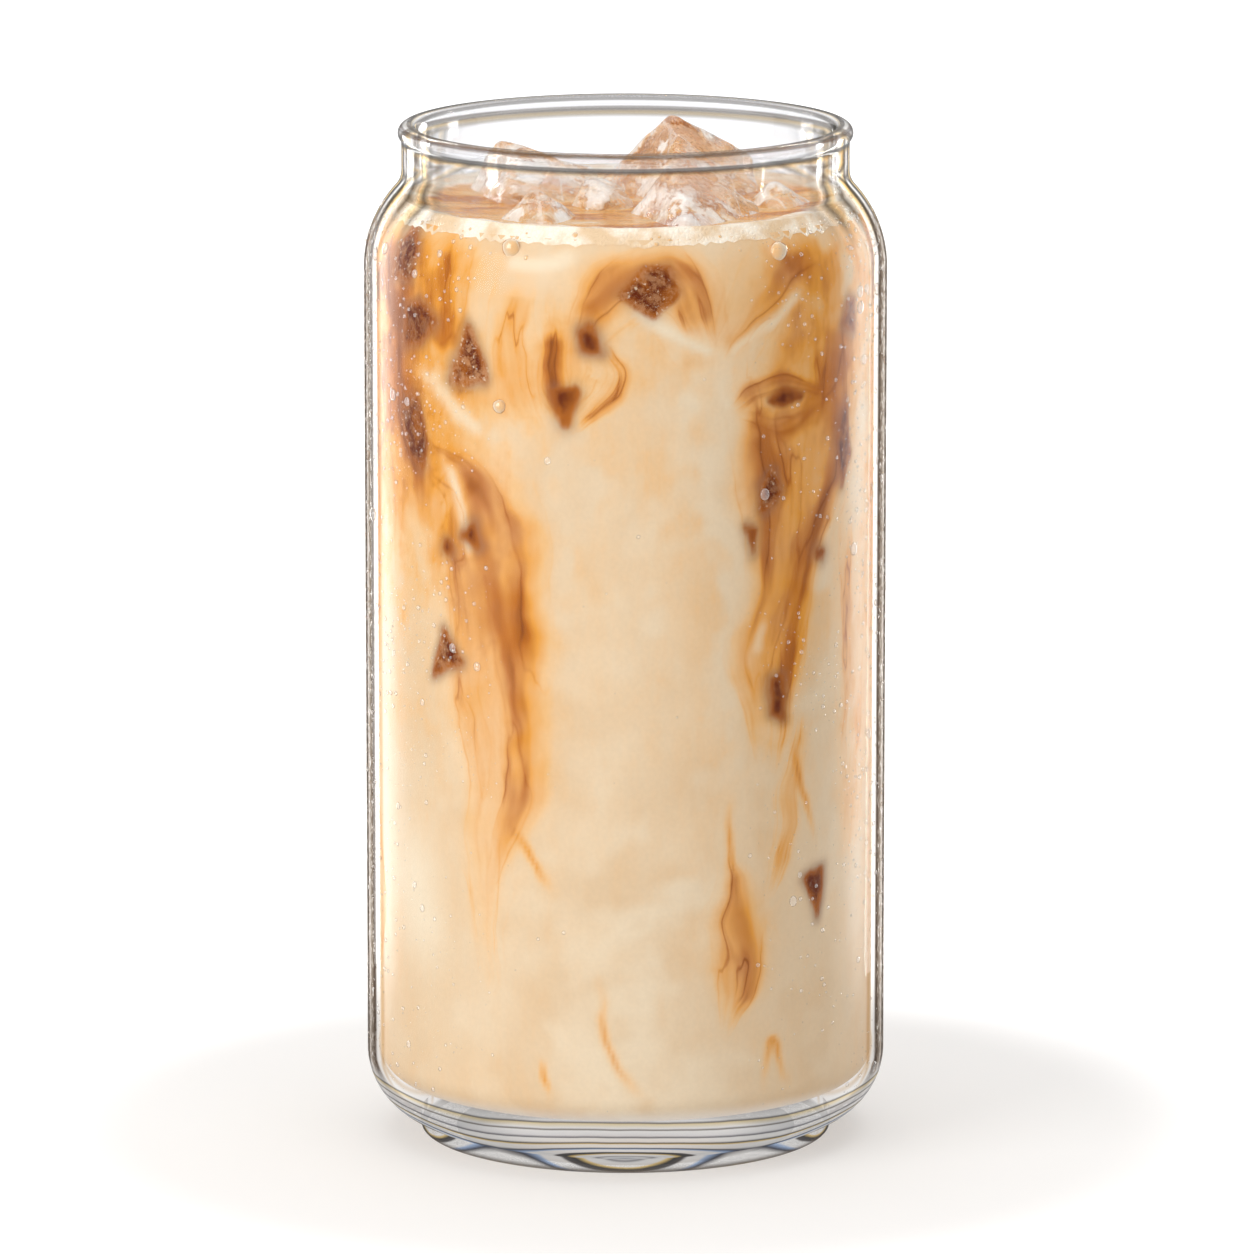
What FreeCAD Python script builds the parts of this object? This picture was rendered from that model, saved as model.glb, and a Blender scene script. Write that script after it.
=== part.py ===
# Iced white chocolate mocha in a can-shaped glass with a rolled rim.
# Millimetres, +Z up. The origin is the centre of the foot, on the surface the glass stands on.
import FreeCAD, Part
import math
import os
import re
import Sketcher

DOCUMENT = FreeCAD.newDocument("iced_mocha")

# Driving dimensions: millimetres, and degrees for angles.
GLASS_SIZES = {
    "glass_height": 158.5,
    "body_diameter": 80.8,
    "wall": 2.5,
    "rim_overhang": 0.55,
    "rim_lip": 0.15,
    "rim_flat": 0.5,
    "rim_fillet": 0.9,
    "neck_length": 7.1,
    "neck_fillet": 4.1,
    "shoulder_step": 5.85,
    "shoulder_radius": 18.0,
    "heel_step": 8.3,
    "heel_radius": 11.0,
    "foot_height": 2.4,
    "foot_edge": 0.8,
    "foot_ring_width": 5.6,
    "punt_depth": 1.8,
    "base_thickness": 9.4,
    "floor_radius": 4.5,
}

# The drink stands headspace below the rim. The froth lies on it, thicker where it climbs the wall.
DRINK_SIZES = {
    "drink_gap": 0.1,
    "headspace": 12.8,
    "froth_depth": 0.6,
    "froth_climb": 0.8,
    "froth_collar": 5.0,
}

ICE_SIZES = {
    "ice_gap": 0.12,
    "ice_draft": 4.0,
    "ice_edge": 2.2,
}

# Each cube that stands out of the drink: width, depth and height, how far its centre lies in from
# the neck's inside, on which bearing and how high above the drink, then its yaw, pitch and roll.
# Where two would meet, the later one is trimmed.
ICE_CUBES = {
    "ice_middle": (9.0, 9.0, 10.0, 27.2, -140.0, -1.4, 35.0, 18.0, 30.0),
    "ice_peak": (19.0, 20.0, 20.0, 16.2, 56.5, -2.4, 30.0, 28.0, 42.0),
    "ice_left": (19.0, 18.0, 18.0, 14.2, 145.0, -4.2, 18.0, 20.0, 24.0),
    "ice_front": (18.0, 18.0, 17.0, 14.2, -55.0, -4.2, 24.0, 28.0, 34.0),
    "ice_front_left": (17.0, 16.0, 16.0, 11.1, -125.5, -7.0, 38.0, 30.0, 38.0),
    "ice_right": (15.0, 14.0, 14.0, 7.6, -4.0, -6.0, 30.0, 32.0, 36.0),
}
CUBE_VALUES = ("width", "depth", "height", "inset", "bearing", "rise", "yaw", "pitch", "roll")


def make_sheet(values):
    """Spreadsheet with one named plain number to a row."""
    sheet = DOCUMENT.addObject("Spreadsheet::Sheet", "sizes")
    for row, (name, value) in enumerate(values.items(), start=1):
        sheet.set(f"A{row}", name)
        sheet.set(f"B{row}", str(value))
        sheet.setAlias(f"B{row}", name)
    DOCUMENT.recompute()
    return sheet


def sheet_values():
    """All driving dimensions, the cubes' nine values each under their own names."""
    values = {**GLASS_SIZES, **DRINK_SIZES, **ICE_SIZES}
    for cube, numbers in ICE_CUBES.items():
        for word, number in zip(CUBE_VALUES, numbers):
            values[f"{cube}_{word}"] = number
    return values


VALUES = sheet_values()
SHEET = make_sheet(VALUES)
ALIAS = re.compile(r"\b(" + "|".join(sorted(VALUES, key=len, reverse=True)) + r")\b")


def bound(formula):
    """The formula as other objects read it, with each size taken from the sheet."""
    return ALIAS.sub(r"sizes.\1", formula)


def number(formula):
    return float(SHEET.evalExpression(formula))


# Formulas that several outlines share.
BODY = "body_diameter / 2"
NECK = f"({BODY} - shoulder_step)"
INNER_NECK = f"({NECK} - wall)"
FOOT = f"({BODY} - heel_step)"
SURFACE = "(glass_height - headspace)"
BLEND = "(shoulder_radius + neck_fillet)"
# The shoulder's convex arc and the neck's concave one meet where both have turned by one angle.
BLEND_COS = f"(1 - shoulder_step / {BLEND})"
BLEND_SIN = f"sqrt(1 - {BLEND_COS} ^ 2)"
NECK_FOOT = "(glass_height - neck_length)"
SHOULDER_FOOT = f"({NECK_FOOT} - {BLEND} * {BLEND_SIN})"
# The rim is a roll with a flat top between two round edges of one radius, about these centres.
RIM = f"({NECK} + rim_overhang)"
ROLL = "((rim_overhang + wall + rim_lip - rim_flat) / 2)"
ROLL_HEIGHT = f"(glass_height - {ROLL})"
ROLL_OUT = f"({RIM} - {ROLL})"
ROLL_IN = f"({ROLL_OUT} - rim_flat)"
# The heel's arc runs from the top of the foot's upright side to the wall.
HEEL_TOP = "(foot_height + sqrt(heel_radius ^ 2 - (heel_radius - heel_step) ^ 2))"
# The small fillet under the roll touches the neck and the roll's outer edge.
FILLET_CENTRE = f"({NECK} + rim_fillet)"
FILLET_DROP = f"sqrt(({ROLL} + rim_fillet) ^ 2 - ({FILLET_CENTRE} - {ROLL_OUT}) ^ 2)"
FILLET_HEIGHT = f"({ROLL_HEIGHT} - {FILLET_DROP})"
FILLET_SHARE = f"({ROLL} / ({ROLL} + rim_fillet))"


def origin_plane(body, role):
    return next(item for item in body.Origin.OriginFeatures if item.Role == role)


def new_sketch(body, role):
    sketch = body.newObject("Sketcher::SketchObject", f"{body.Name}_sketch")
    sketch.AttachmentSupport = [(origin_plane(body, role), "")]
    sketch.MapMode = "FlatFace"
    return sketch


def arc_geometry(start, end, radius, side):
    """Arc of less than half a turn from start to end, and which of its ends is the start.

    side is 1 where the arc bulges to the right of the way from start to end, and -1 to the left.
    """
    chord = end - start
    middle = (start + end) / 2
    reach = math.sqrt(max(radius ** 2 - (chord.Length / 2) ** 2, 0.0))
    left = FreeCAD.Vector(-chord.y, chord.x, 0).normalize()
    centre = middle + left * reach * side
    angles = [math.atan2(point.y - centre.y, point.x - centre.x) for point in (start, end)]
    if side < 0:
        angles.reverse()
    if angles[1] < angles[0]:
        angles[1] += 2 * math.pi
    circle = Part.Circle(centre, FreeCAD.Vector(0, 0, 1), radius)
    return Part.ArcOfCircle(circle, angles[0], angles[1]), 1 if side > 0 else 2


def pin_point(sketch, geometry, end, formulas, name):
    """Bind a point's distances from the axis and from the floor to the sheet."""
    rules = (("DistanceX", -2, formulas[0], "x"), ("DistanceY", -1, formulas[1], "y"))
    for kind, axis, formula, letter in rules:
        distance = number(formula)
        if distance == 0:
            sketch.addConstraint(Sketcher.Constraint("PointOnObject", geometry, end, axis))
            continue
        label = f"{name}_{letter}"
        index = sketch.addConstraint(Sketcher.Constraint(kind, -1, 1, geometry, end, distance))
        sketch.renameConstraint(index, label)
        sketch.setExpression(f"Constraints.{label}", bound(formula))


def revolved_profile(name, outline):
    """Body turned about Z from a closed outline in the XZ plane.

    Each step is (radius, height) for the end of a straight side, or (radius, height, arc radius,
    side) for the end of an arc. The last step closes the outline.
    """
    body = DOCUMENT.addObject("PartDesign::Body", name)
    sketch = new_sketch(body, "XZ_Plane")
    corners = [FreeCAD.Vector(number(step[0]), number(step[1]), 0) for step in outline]
    ends = []
    for index, step in enumerate(outline):
        start = corners[index - 1]
        end = corners[index]
        if len(step) == 2:
            geometry = sketch.addGeometry(Part.LineSegment(start, end), False)
            ends.append((geometry, 1, 2))
            continue
        arc, start_end = arc_geometry(start, end, number(step[2]), step[3])
        geometry = sketch.addGeometry(arc, False)
        ends.append((geometry, start_end, 3 - start_end))
    for index, step in enumerate(outline):
        geometry, start_end, far_end = ends[index]
        before, _, before_end = ends[index - 1]
        sketch.addConstraint(Sketcher.Constraint("Coincident", before, before_end, geometry, start_end))
        pin_point(sketch, geometry, far_end, step[:2], f"corner{index}")
        if len(step) == 4:
            rule = sketch.addConstraint(Sketcher.Constraint("Radius", geometry, number(step[2])))
            sketch.renameConstraint(rule, f"arc{index}")
            sketch.setExpression(f"Constraints.arc{index}", bound(step[2]))
    turned = body.newObject("PartDesign::Revolution", f"{name}_turned")
    turned.Profile = sketch
    turned.ReferenceAxis = (sketch, ["V_Axis"])
    turned.Angle = 360
    body.Tip = turned
    return body


def blend_point(offset):
    """Where the shoulder's two arcs meet, on a skin that lies offset inside the outer one."""
    radius = f"({BODY} - shoulder_radius + (shoulder_radius - {offset}) * {BLEND_COS})"
    height = f"({SHOULDER_FOOT} + (shoulder_radius - {offset}) * {BLEND_SIN})"
    return radius, height


def cavity_side(offset):
    """The inside of the wall from the floor's centre up to the neck, offset in from the outer skin."""
    skin = f"({BODY} - {offset})"
    floor = f"(base_thickness + {offset} - wall)"
    corner = f"(floor_radius - {offset} + wall)"
    meet = blend_point(offset)
    return [
        ("0", floor),
        (f"{skin} - {corner}", floor),
        (skin, f"{floor} + {corner}", corner, 1),
        (skin, SHOULDER_FOOT),
        (meet[0], meet[1], f"shoulder_radius - {offset}", 1),
        (f"{NECK} - {offset}", NECK_FOOT, f"neck_fillet + {offset}", -1),
    ]


def make_glass():
    """Glass: punt, foot ring, heel, upright wall, shoulder, neck and rolled rim."""
    punt = f"({FOOT} - foot_ring_width)"
    roll_foot = f"({ROLL_HEIGHT} - sqrt({ROLL} ^ 2 - ({ROLL_IN} - {INNER_NECK}) ^ 2))"
    meet = blend_point("0")
    outside = [
        ("0", "punt_depth"),
        (punt, "0", f"({punt} ^ 2 + punt_depth ^ 2) / (2 * punt_depth)", -1),
        (f"{FOOT} - foot_edge", "0"),
        (FOOT, "foot_edge", "foot_edge", 1),
        (FOOT, "foot_height"),
        (BODY, HEEL_TOP, "heel_radius", 1),
        (BODY, SHOULDER_FOOT),
        (meet[0], meet[1], "shoulder_radius", 1),
        (NECK, NECK_FOOT, "neck_fillet", -1),
        (NECK, FILLET_HEIGHT),
        (
            f"{FILLET_CENTRE} - ({FILLET_CENTRE} - {ROLL_OUT}) * (1 - {FILLET_SHARE})",
            f"{FILLET_HEIGHT} + {FILLET_DROP} * (1 - {FILLET_SHARE})",
            "rim_fillet",
            -1,
        ),
        (RIM, ROLL_HEIGHT, ROLL, 1),
        (ROLL_OUT, "glass_height", ROLL, 1),
        (ROLL_IN, "glass_height"),
        (f"{ROLL_IN} - {ROLL}", ROLL_HEIGHT, ROLL, 1),
        (INNER_NECK, roll_foot, ROLL, 1),
    ]
    inside = reversed_path(cavity_side("wall"))
    return revolved_profile("glass", outside + inside)


def reversed_path(path):
    """The same corners walked the other way, each arc bulging to its other hand."""
    walked = []
    for index in range(len(path) - 1, -1, -1):
        corner = path[index][:2]
        arrival = path[index + 1] if index + 1 < len(path) else corner
        if len(arrival) == 4:
            walked.append((*corner, arrival[2], -arrival[3]))
        else:
            walked.append(corner)
    return walked


def make_cavity():
    """The space inside the glass, drink_gap clear of its wall, up to the rim."""
    offset = "(wall + drink_gap)"
    top = [(f"{NECK} - {offset}", "glass_height"), ("0", "glass_height")]
    return revolved_profile("cavity", cavity_side(offset) + top)


def make_froth_blank():
    """Froth: a thin layer that rises in a curve to the wall, wider than the glass until it is trimmed."""
    top = f"{SURFACE} + froth_depth"
    # The collar's arc leaves the flat layer smoothly, and a collar's width on it has risen froth_climb.
    collar = f"({INNER_NECK} - froth_collar)"
    reach = f"({BODY} - {collar})"
    climb = f"(froth_climb * ({reach} / froth_collar) ^ 2)"
    return revolved_profile(
        "froth_blank",
        [
            ("0", SURFACE),
            (BODY, SURFACE),
            (BODY, f"{top} + {climb}"),
            (collar, top, f"({reach} ^ 2 + {climb} ^ 2) / (2 * {climb})", -1),
            ("0", top),
        ],
    )


def make_cube(name, role, growth):
    """One moulded ice cube with draft and melted edges, turned and placed by its own values."""
    body = DOCUMENT.addObject("PartDesign::Body", f"{name}_{role}")
    sketch = new_sketch(body, "XY_Plane")
    width = f"{name}_width + 2 * {growth}"
    depth = f"{name}_depth + 2 * {growth}"
    height = f"{name}_height + 2 * {growth}"
    half = (number(width) / 2, number(depth) / 2)
    signs = ((-1, -1), (1, -1), (1, 1), (-1, 1))
    corners = [FreeCAD.Vector(x * half[0], y * half[1], 0) for x, y in signs]
    for index, corner in enumerate(corners):
        sketch.addGeometry(Part.LineSegment(corner, corners[(index + 1) % 4]), False)
    for index in range(4):
        sketch.addConstraint(Sketcher.Constraint("Coincident", index, 2, (index + 1) % 4, 1))
        direction = "Vertical" if index % 2 else "Horizontal"
        sketch.addConstraint(Sketcher.Constraint(direction, index))
    sketch.addConstraint(Sketcher.Constraint("Symmetric", 0, 1, 2, 1, -1, 1))
    for label, kind, side, formula in (("width", "DistanceX", 0, width), ("depth", "DistanceY", 1, depth)):
        rule = Sketcher.Constraint(kind, side, 1, side, 2, number(formula))
        index = sketch.addConstraint(rule)
        sketch.renameConstraint(index, label)
        sketch.setExpression(f"Constraints.{label}", bound(formula))
    sketch.setExpression(".AttachmentOffset.Base.z", bound(f"-({height}) / 2"))
    pad = body.newObject("PartDesign::Pad", f"{body.Name}_pad")
    pad.Profile = sketch
    pad.setExpression("Length", bound(height))
    pad.setExpression("TaperAngle", bound("-ice_draft"))
    DOCUMENT.recompute()
    melted = body.newObject("PartDesign::Fillet", f"{body.Name}_melted")
    melted.Base = (pad, ["Edge1"])
    melted.UseAllEdges = True
    melted.setExpression("Radius", bound("ice_edge"))
    body.Tip = melted
    reach = f"({INNER_NECK} - {name}_inset)"
    across = f"{reach} * cos({name}_bearing)"
    back = f"{reach} * sin({name}_bearing)"
    place = f"{across}; {back}; {SURFACE} + {name}_rise"
    turn = f"{name}_yaw; {name}_pitch; {name}_roll"
    body.setExpression(
        "Placement",
        bound(f"create(<<placement>>; create(<<vector>>; {place}); create(<<rotation>>; {turn}))"),
    )
    return body


def fused(name, pieces):
    if len(pieces) == 1:
        return pieces[0]
    joined = DOCUMENT.addObject("Part::MultiFuse", name)
    joined.Shapes = pieces
    return joined


def common(name, base, tool):
    kept = DOCUMENT.addObject("Part::Common", name)
    kept.Base = base
    kept.Tool = tool
    return kept


def cut(name, base, tool):
    rest = DOCUMENT.addObject("Part::Cut", name)
    rest.Base = base
    rest.Tool = tool
    return rest


def make_ice(cavity):
    """The cubes that stand out of the drink, each kept inside the glass and clear of those before it."""
    pieces = []
    pockets = []
    for name in ICE_CUBES:
        blank = make_cube(name, "blank", "0")
        piece = common(f"{name}_inside" if pockets else name, blank, cavity)
        if pockets:
            piece = cut(name, piece, fused(f"{name}_neighbours", list(pockets)))
        pieces.append(piece)
        pockets.append(make_cube(name, "pocket", "ice_gap"))
    return pieces, fused("ice_pockets", pockets)


def make_drink(cavity, ice_pockets):
    """The drink up to its surface, with a pocket for each cube that stands out of it."""
    filling = DOCUMENT.addObject("Part::Cylinder", "drink_filling")
    filling.setExpression("Radius", bound(BODY))
    filling.setExpression("Height", bound(SURFACE))
    return cut("drink", common("drink_blank", cavity, filling), ice_pockets)


def make_froth(cavity, ice_pockets):
    """The froth on the drink, between the cubes and round the wall."""
    return cut("froth", common("froth_inside", make_froth_blank(), cavity), ice_pockets)


def check_document(parts):
    DOCUMENT.recompute()
    for item in DOCUMENT.Objects:
        if "Invalid" in item.State or "Error" in item.State:
            raise RuntimeError(f"{item.Name} failed: {item.State}")
    for part in parts:
        if part.Shape.isNull() or not part.Shape.isValid():
            raise RuntimeError(f"{part.Label} has no valid shape")
        if not part.Shape.Solids:
            raise RuntimeError(f"{part.Label} holds no solid")


def export(parts):
    os.makedirs("parts", exist_ok=True)
    for part in parts:
        part.Shape.exportStep(os.path.join("parts", f"{part.Label}.step"))
        size = part.Shape.optimalBoundingBox(False)
        print(
            f"{part.Label}: {len(part.Shape.Solids)} solid, {part.Shape.Volume:.0f} mm3,"
            f" x {size.XMin:.1f} to {size.XMax:.1f}, y {size.YMin:.1f} to {size.YMax:.1f},"
            f" z {size.ZMin:.1f} to {size.ZMax:.1f}"
        )


def main():
    glass = make_glass()
    cavity = make_cavity()
    ice, ice_pockets = make_ice(cavity)
    drink = make_drink(cavity, ice_pockets)
    froth = make_froth(cavity, ice_pockets)
    parts = [glass, drink, froth, *ice]
    for part in parts:
        part.Label = part.Name
    check_document(parts)
    export(parts)


main()
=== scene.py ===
import math

import bmesh
import bpy
import numpy as np
from bpy.props import FloatProperty, FloatVectorProperty, IntProperty, PointerProperty
from mathutils import Matrix, Vector, noise


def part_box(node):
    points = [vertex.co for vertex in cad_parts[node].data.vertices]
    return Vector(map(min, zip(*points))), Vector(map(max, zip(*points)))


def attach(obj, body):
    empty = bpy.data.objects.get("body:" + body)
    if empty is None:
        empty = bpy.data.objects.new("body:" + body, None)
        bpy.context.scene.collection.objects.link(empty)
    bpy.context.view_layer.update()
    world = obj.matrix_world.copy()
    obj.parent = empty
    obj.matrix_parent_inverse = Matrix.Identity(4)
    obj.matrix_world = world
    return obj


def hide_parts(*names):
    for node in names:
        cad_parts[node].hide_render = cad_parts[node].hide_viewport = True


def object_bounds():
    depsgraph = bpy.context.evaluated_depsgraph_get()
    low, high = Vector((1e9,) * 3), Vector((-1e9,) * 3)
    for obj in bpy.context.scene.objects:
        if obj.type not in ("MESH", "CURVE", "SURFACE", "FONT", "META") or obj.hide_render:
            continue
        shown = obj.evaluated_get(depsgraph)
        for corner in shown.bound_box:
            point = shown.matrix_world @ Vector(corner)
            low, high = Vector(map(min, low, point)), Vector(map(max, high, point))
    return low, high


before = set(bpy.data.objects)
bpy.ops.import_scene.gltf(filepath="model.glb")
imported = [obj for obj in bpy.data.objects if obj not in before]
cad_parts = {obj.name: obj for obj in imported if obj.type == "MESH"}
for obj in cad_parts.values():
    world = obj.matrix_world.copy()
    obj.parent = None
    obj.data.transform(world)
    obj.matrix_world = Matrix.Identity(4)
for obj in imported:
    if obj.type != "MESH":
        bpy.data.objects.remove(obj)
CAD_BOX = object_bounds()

bl_info = {
    "name": "Iced White Chocolate Mocha",
    "version": (1, 0, 0),
    "blender": (4, 5, 0),
    "location": "View3D > Sidebar > Iced Mocha",
    "description": "Builds an iced white chocolate mocha in its can-shaped glass",
    "category": "Object",
}

MM = 0.001
WHITE = (1, 1, 1)
CUBES = ("ice_peak", "ice_left", "ice_front", "ice_front_left", "ice_right", "ice_middle")
GLASS_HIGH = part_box("glass")[1]
DRINK_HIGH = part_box("drink")[1]


def size_of(name, text, default):
    """A length in metres, given here in millimetres."""
    return FloatProperty(name=name, description=text, default=default * MM, unit="LENGTH", precision=5)


def colour_of(name, text, default):
    return FloatVectorProperty(
        name=name, description=text, default=default, size=3, min=0, max=1, subtype="COLOR"
    )


# ---------------------------------------------------------------- settings


class MochaGlassSettings(bpy.types.PropertyGroup):
    """The glass's outline, as the frame has it."""

    wall: size_of("Wall", "Thickness of the side wall", 2.5)
    rim_width: size_of("Rim width", "Rolled rim from inside to outside", 3.2)
    rim_thickness: size_of("Rim thickness", "Height of the rolled rim", 2.7)
    rim_radius: size_of("Rim radius", "Outer radius of the rolled rim", 35.1)
    rim_fillet: size_of("Rim fillet", "Fillet under the rolled rim", 0.9)
    neck_radius: size_of("Neck radius", "Outer radius of the neck", 34.55)
    neck_length: size_of("Neck length", "From the rim's top to the neck's foot", 7.1)
    neck_fillet: size_of("Neck fillet", "Hollow arc between neck and shoulder", 4.1)
    shoulder_radius: size_of("Shoulder radius", "Round arc of the shoulder", 18.0)
    heel_radius: size_of("Heel radius", "Arc between wall and foot", 11.0)
    foot_height: size_of("Foot height", "Height where the heel's arc starts", 2.4)
    foot_radius: size_of("Foot radius", "Outer radius of the foot ring", 32.1)
    foot_edge: size_of("Foot edge", "Round edge of the foot ring", 0.8)
    punt_radius: size_of("Punt radius", "Radius of the hollow under the base", 26.5)
    punt_depth: size_of("Punt depth", "Depth of the hollow under the base", 1.8)
    base_thickness: size_of("Base thickness", "Height of the floor inside", 9.4)
    floor_radius: size_of("Floor radius", "Arc between floor and wall inside", 4.5)
    segments: IntProperty(name="Segments", description="Steps round the glass", default=192, min=48)


class MochaDrinkSettings(bpy.types.PropertyGroup):
    """The drink and the froth on it."""

    reach: size_of("Reach", "How far the drink's skin lies in the wall, so that no air shows", 0.5)
    cream: colour_of("Cream", "Milk and white chocolate", (0.800, 0.585, 0.365))
    pale: colour_of("Pale cream", "Milk where no coffee has reached it", (0.950, 0.820, 0.620))
    latte: colour_of("Latte", "Milk with a little caramel in it", (0.870, 0.510, 0.210))
    amber: colour_of("Caramel", "Caramel swirls", (0.820, 0.345, 0.050))
    brown: colour_of("Deep caramel", "Where swirls are thick", (0.520, 0.155, 0.014))
    dark: colour_of("Dark caramel", "Where swirls are thickest", (0.270, 0.070, 0.010))
    # Painted shade: the ice against the wall, its edge and its halo of thin milk are dark where one looks
    # into shade.
    window: colour_of("Ice window", "Ice seen against the wall", (0.125, 0.018, 0.002))
    window_edge: colour_of("Ice edge", "The thin edge of that ice", (0.360, 0.100, 0.016))
    rime: colour_of("Rime", "Frosted patches in that ice", (0.560, 0.270, 0.120))
    halo: colour_of("Ice halo", "Thin milk over ice", (0.290, 0.140, 0.080))
    froth: colour_of("Froth", "Froth at the wall", (1.000, 0.900, 0.760))
    columns: IntProperty(name="Columns", description="Steps round the drink", default=384, min=64)
    rows: IntProperty(name="Rows", description="Steps up the drink's side", default=216, min=64)


class MochaIceSettings(bpy.types.PropertyGroup):
    """Ice cubes, standing and sunk."""

    tint: colour_of("Tint", "Wet ice", (0.985, 0.900, 0.780))
    film: colour_of("Film", "Thin film of coffee on the ice", (0.900, 0.600, 0.330))
    # Deep film is partly painted shade in place of the drink seen through the ice.
    deep_film: colour_of("Deep film", "Coffee in the ice's hollows", (0.420, 0.170, 0.040))
    # Frost also colours the painted white glints and edge highlights.
    frost: colour_of("Frost", "Frosted faces", (1.000, 0.965, 0.910))
    sunk_size: size_of("Sunk cube", "Edge of a sunk cube", 19.0)
    edge: size_of("Edge", "Melted edge of a cube", 2.4)


class MochaDropSettings(bpy.types.PropertyGroup):
    """Condensation on the glass and bubbles in the froth."""

    density: FloatProperty(name="Density", description="Droplets for each square metre", default=440000)
    smallest: size_of("Smallest droplet", "Radius of the smallest droplets", 0.10)
    largest: size_of("Largest droplet", "Radius of the largest scattered droplets", 0.42)
    large_density: FloatProperty(
        name="Drop density", description="Large drops for each square metre", default=5200
    )
    large_smallest: size_of("Smallest drop", "Radius of the smallest large drops", 0.50)
    large_largest: size_of("Largest drop", "Radius of the largest large drops", 1.10)
    froth_density: FloatProperty(
        name="Bubble density", description="Froth bubbles for each square metre", default=170000
    )
    seed: IntProperty(name="Seed", description="Seed of all scatter", default=7)


class MochaStageSettings(bpy.types.PropertyGroup):
    """Floor, light and camera."""

    distance: size_of("Camera distance", "From the middle", 1500)
    elevation: FloatProperty(
        name="Elevation", description="Camera above level", default=math.radians(11.0), subtype="ANGLE"
    )
    span: size_of("Span", "Height of the view at the glass", 195)
    aim_across: size_of("Aim across", "Sideways place that the camera looks at", 0.23)
    aim_height: size_of("Aim height", "Height that the camera looks at", 79.5)


# ---------------------------------------------------------------- outlines and meshes


def arc(centre, radius, start, end, steps):
    """Points of an arc in (radius, height), from the angle start to end in degrees."""
    turns = np.radians(np.linspace(start, end, steps + 1))
    return [(centre[0] + radius * math.cos(t), centre[1] + radius * math.sin(t)) for t in turns]


def run(start, end, steps):
    """Points of a straight side, both ends included."""
    return [
        (start[0] + (end[0] - start[0]) * k / steps, start[1] + (end[1] - start[1]) * k / steps)
        for k in range(steps + 1)
    ]


def joined(*stretches):
    """One outline from several, without doubled points."""
    outline = []
    for stretch in stretches:
        for point in stretch:
            if not outline or math.dist(outline[-1], point) > 1e-7:
                outline.append(point)
    return outline


def heel_top(sizes):
    """Height where the heel's arc meets the upright wall."""
    inset = sizes.heel_radius - (GLASS_HIGH.x - sizes.foot_radius)
    return sizes.foot_height + math.sqrt(sizes.heel_radius**2 - inset**2)


def blend_of(sizes):
    """Turn of the shoulder's two arcs in degrees, and the height where the shoulder starts."""
    body = GLASS_HIGH.x
    reach = sizes.shoulder_radius + sizes.neck_fillet
    turn = math.acos(1 - (body - sizes.neck_radius) / reach)
    neck_foot = GLASS_HIGH.z - sizes.neck_length
    return math.degrees(turn), neck_foot - reach * math.sin(turn)


def side_outline(sizes, offset, steps=14):
    """The wall's skin that lies offset inside the outer one, from the heel's height to the neck."""
    body = GLASS_HIGH.x
    turn, shoulder_foot = blend_of(sizes)
    neck_foot = GLASS_HIGH.z - sizes.neck_length
    centre = (body - sizes.shoulder_radius, shoulder_foot)
    hollow = (sizes.neck_radius + sizes.neck_fillet, neck_foot)
    return joined(
        arc(centre, sizes.shoulder_radius - offset, 0, turn, steps),
        arc(hollow, sizes.neck_fillet + offset, 180 + turn, 180, steps),
    )


def glass_outline(sizes):
    """The whole glass, from the punt's centre round the outside, over the rim and down to the floor."""
    body = GLASS_HIGH.x
    top = GLASS_HIGH.z
    punt_round = (sizes.punt_radius**2 + sizes.punt_depth**2) / (2 * sizes.punt_depth)
    punt_turn = math.degrees(math.asin(sizes.punt_radius / punt_round))
    heel = (body - sizes.heel_radius, heel_top(sizes))
    heel_turn = math.degrees(math.acos((sizes.foot_radius - heel[0]) / sizes.heel_radius))
    roll = sizes.rim_thickness / 2
    roll_height = top - roll
    roll_out = sizes.rim_radius - roll
    roll_in = sizes.rim_radius - sizes.rim_width + roll
    fillet = (sizes.neck_radius + sizes.rim_fillet, 0)
    drop = math.sqrt((roll + sizes.rim_fillet) ** 2 - (fillet[0] - roll_out) ** 2)
    fillet = (fillet[0], roll_height - drop)
    fillet_turn = math.degrees(math.atan2(drop, fillet[0] - roll_out))
    inner_neck = sizes.neck_radius - sizes.wall
    roll_turn = math.degrees(math.acos((roll_in - inner_neck) / roll))
    inner = body - sizes.wall
    floor = sizes.base_thickness
    corner = (inner - sizes.floor_radius, floor + sizes.floor_radius)
    return joined(
        arc((0, sizes.punt_depth - punt_round), punt_round, 90, 90 - punt_turn, 20),
        run((sizes.punt_radius, 0), (sizes.foot_radius - sizes.foot_edge, 0), 3),
        arc((sizes.foot_radius - sizes.foot_edge, sizes.foot_edge), sizes.foot_edge, -90, 0, 8),
        arc(heel, sizes.heel_radius, -heel_turn, 0, 28),
        side_outline(sizes, 0),
        arc(fillet, sizes.rim_fillet, 180, 180 - fillet_turn, 6),
        arc((roll_out, roll_height), roll, -fillet_turn, 90, 18),
        arc((roll_in, roll_height), roll, 90, 180 + roll_turn, 18),
        reversed(side_outline(sizes, sizes.wall)),
        arc(corner, sizes.floor_radius, 0, -90, 20),
        run((corner[0], floor), (0, floor), 8),
    )


def inner_radius(sizes, height, offset):
    """Radius of the skin that lies offset inside the outer one, above the floor's arc."""
    points = [(GLASS_HIGH.x - offset, 0.0)] + side_outline(sizes, offset, 40)
    radii, heights = np.array(points).T
    return np.interp(height, heights, radii)


def wall_line(sizes, low, high, steps, offset):
    """Points of the skin that lies offset inside the outer one, from the height low to high."""
    heights = np.linspace(low, high, steps)
    return [(float(inner_radius(sizes, z, offset)), float(z)) for z in heights]


def round_the_axis(share):
    """The way outwards at a share of the turn about Z."""
    turn = 2 * math.pi * share
    return Vector((math.cos(turn), math.sin(turn), 0))


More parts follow.
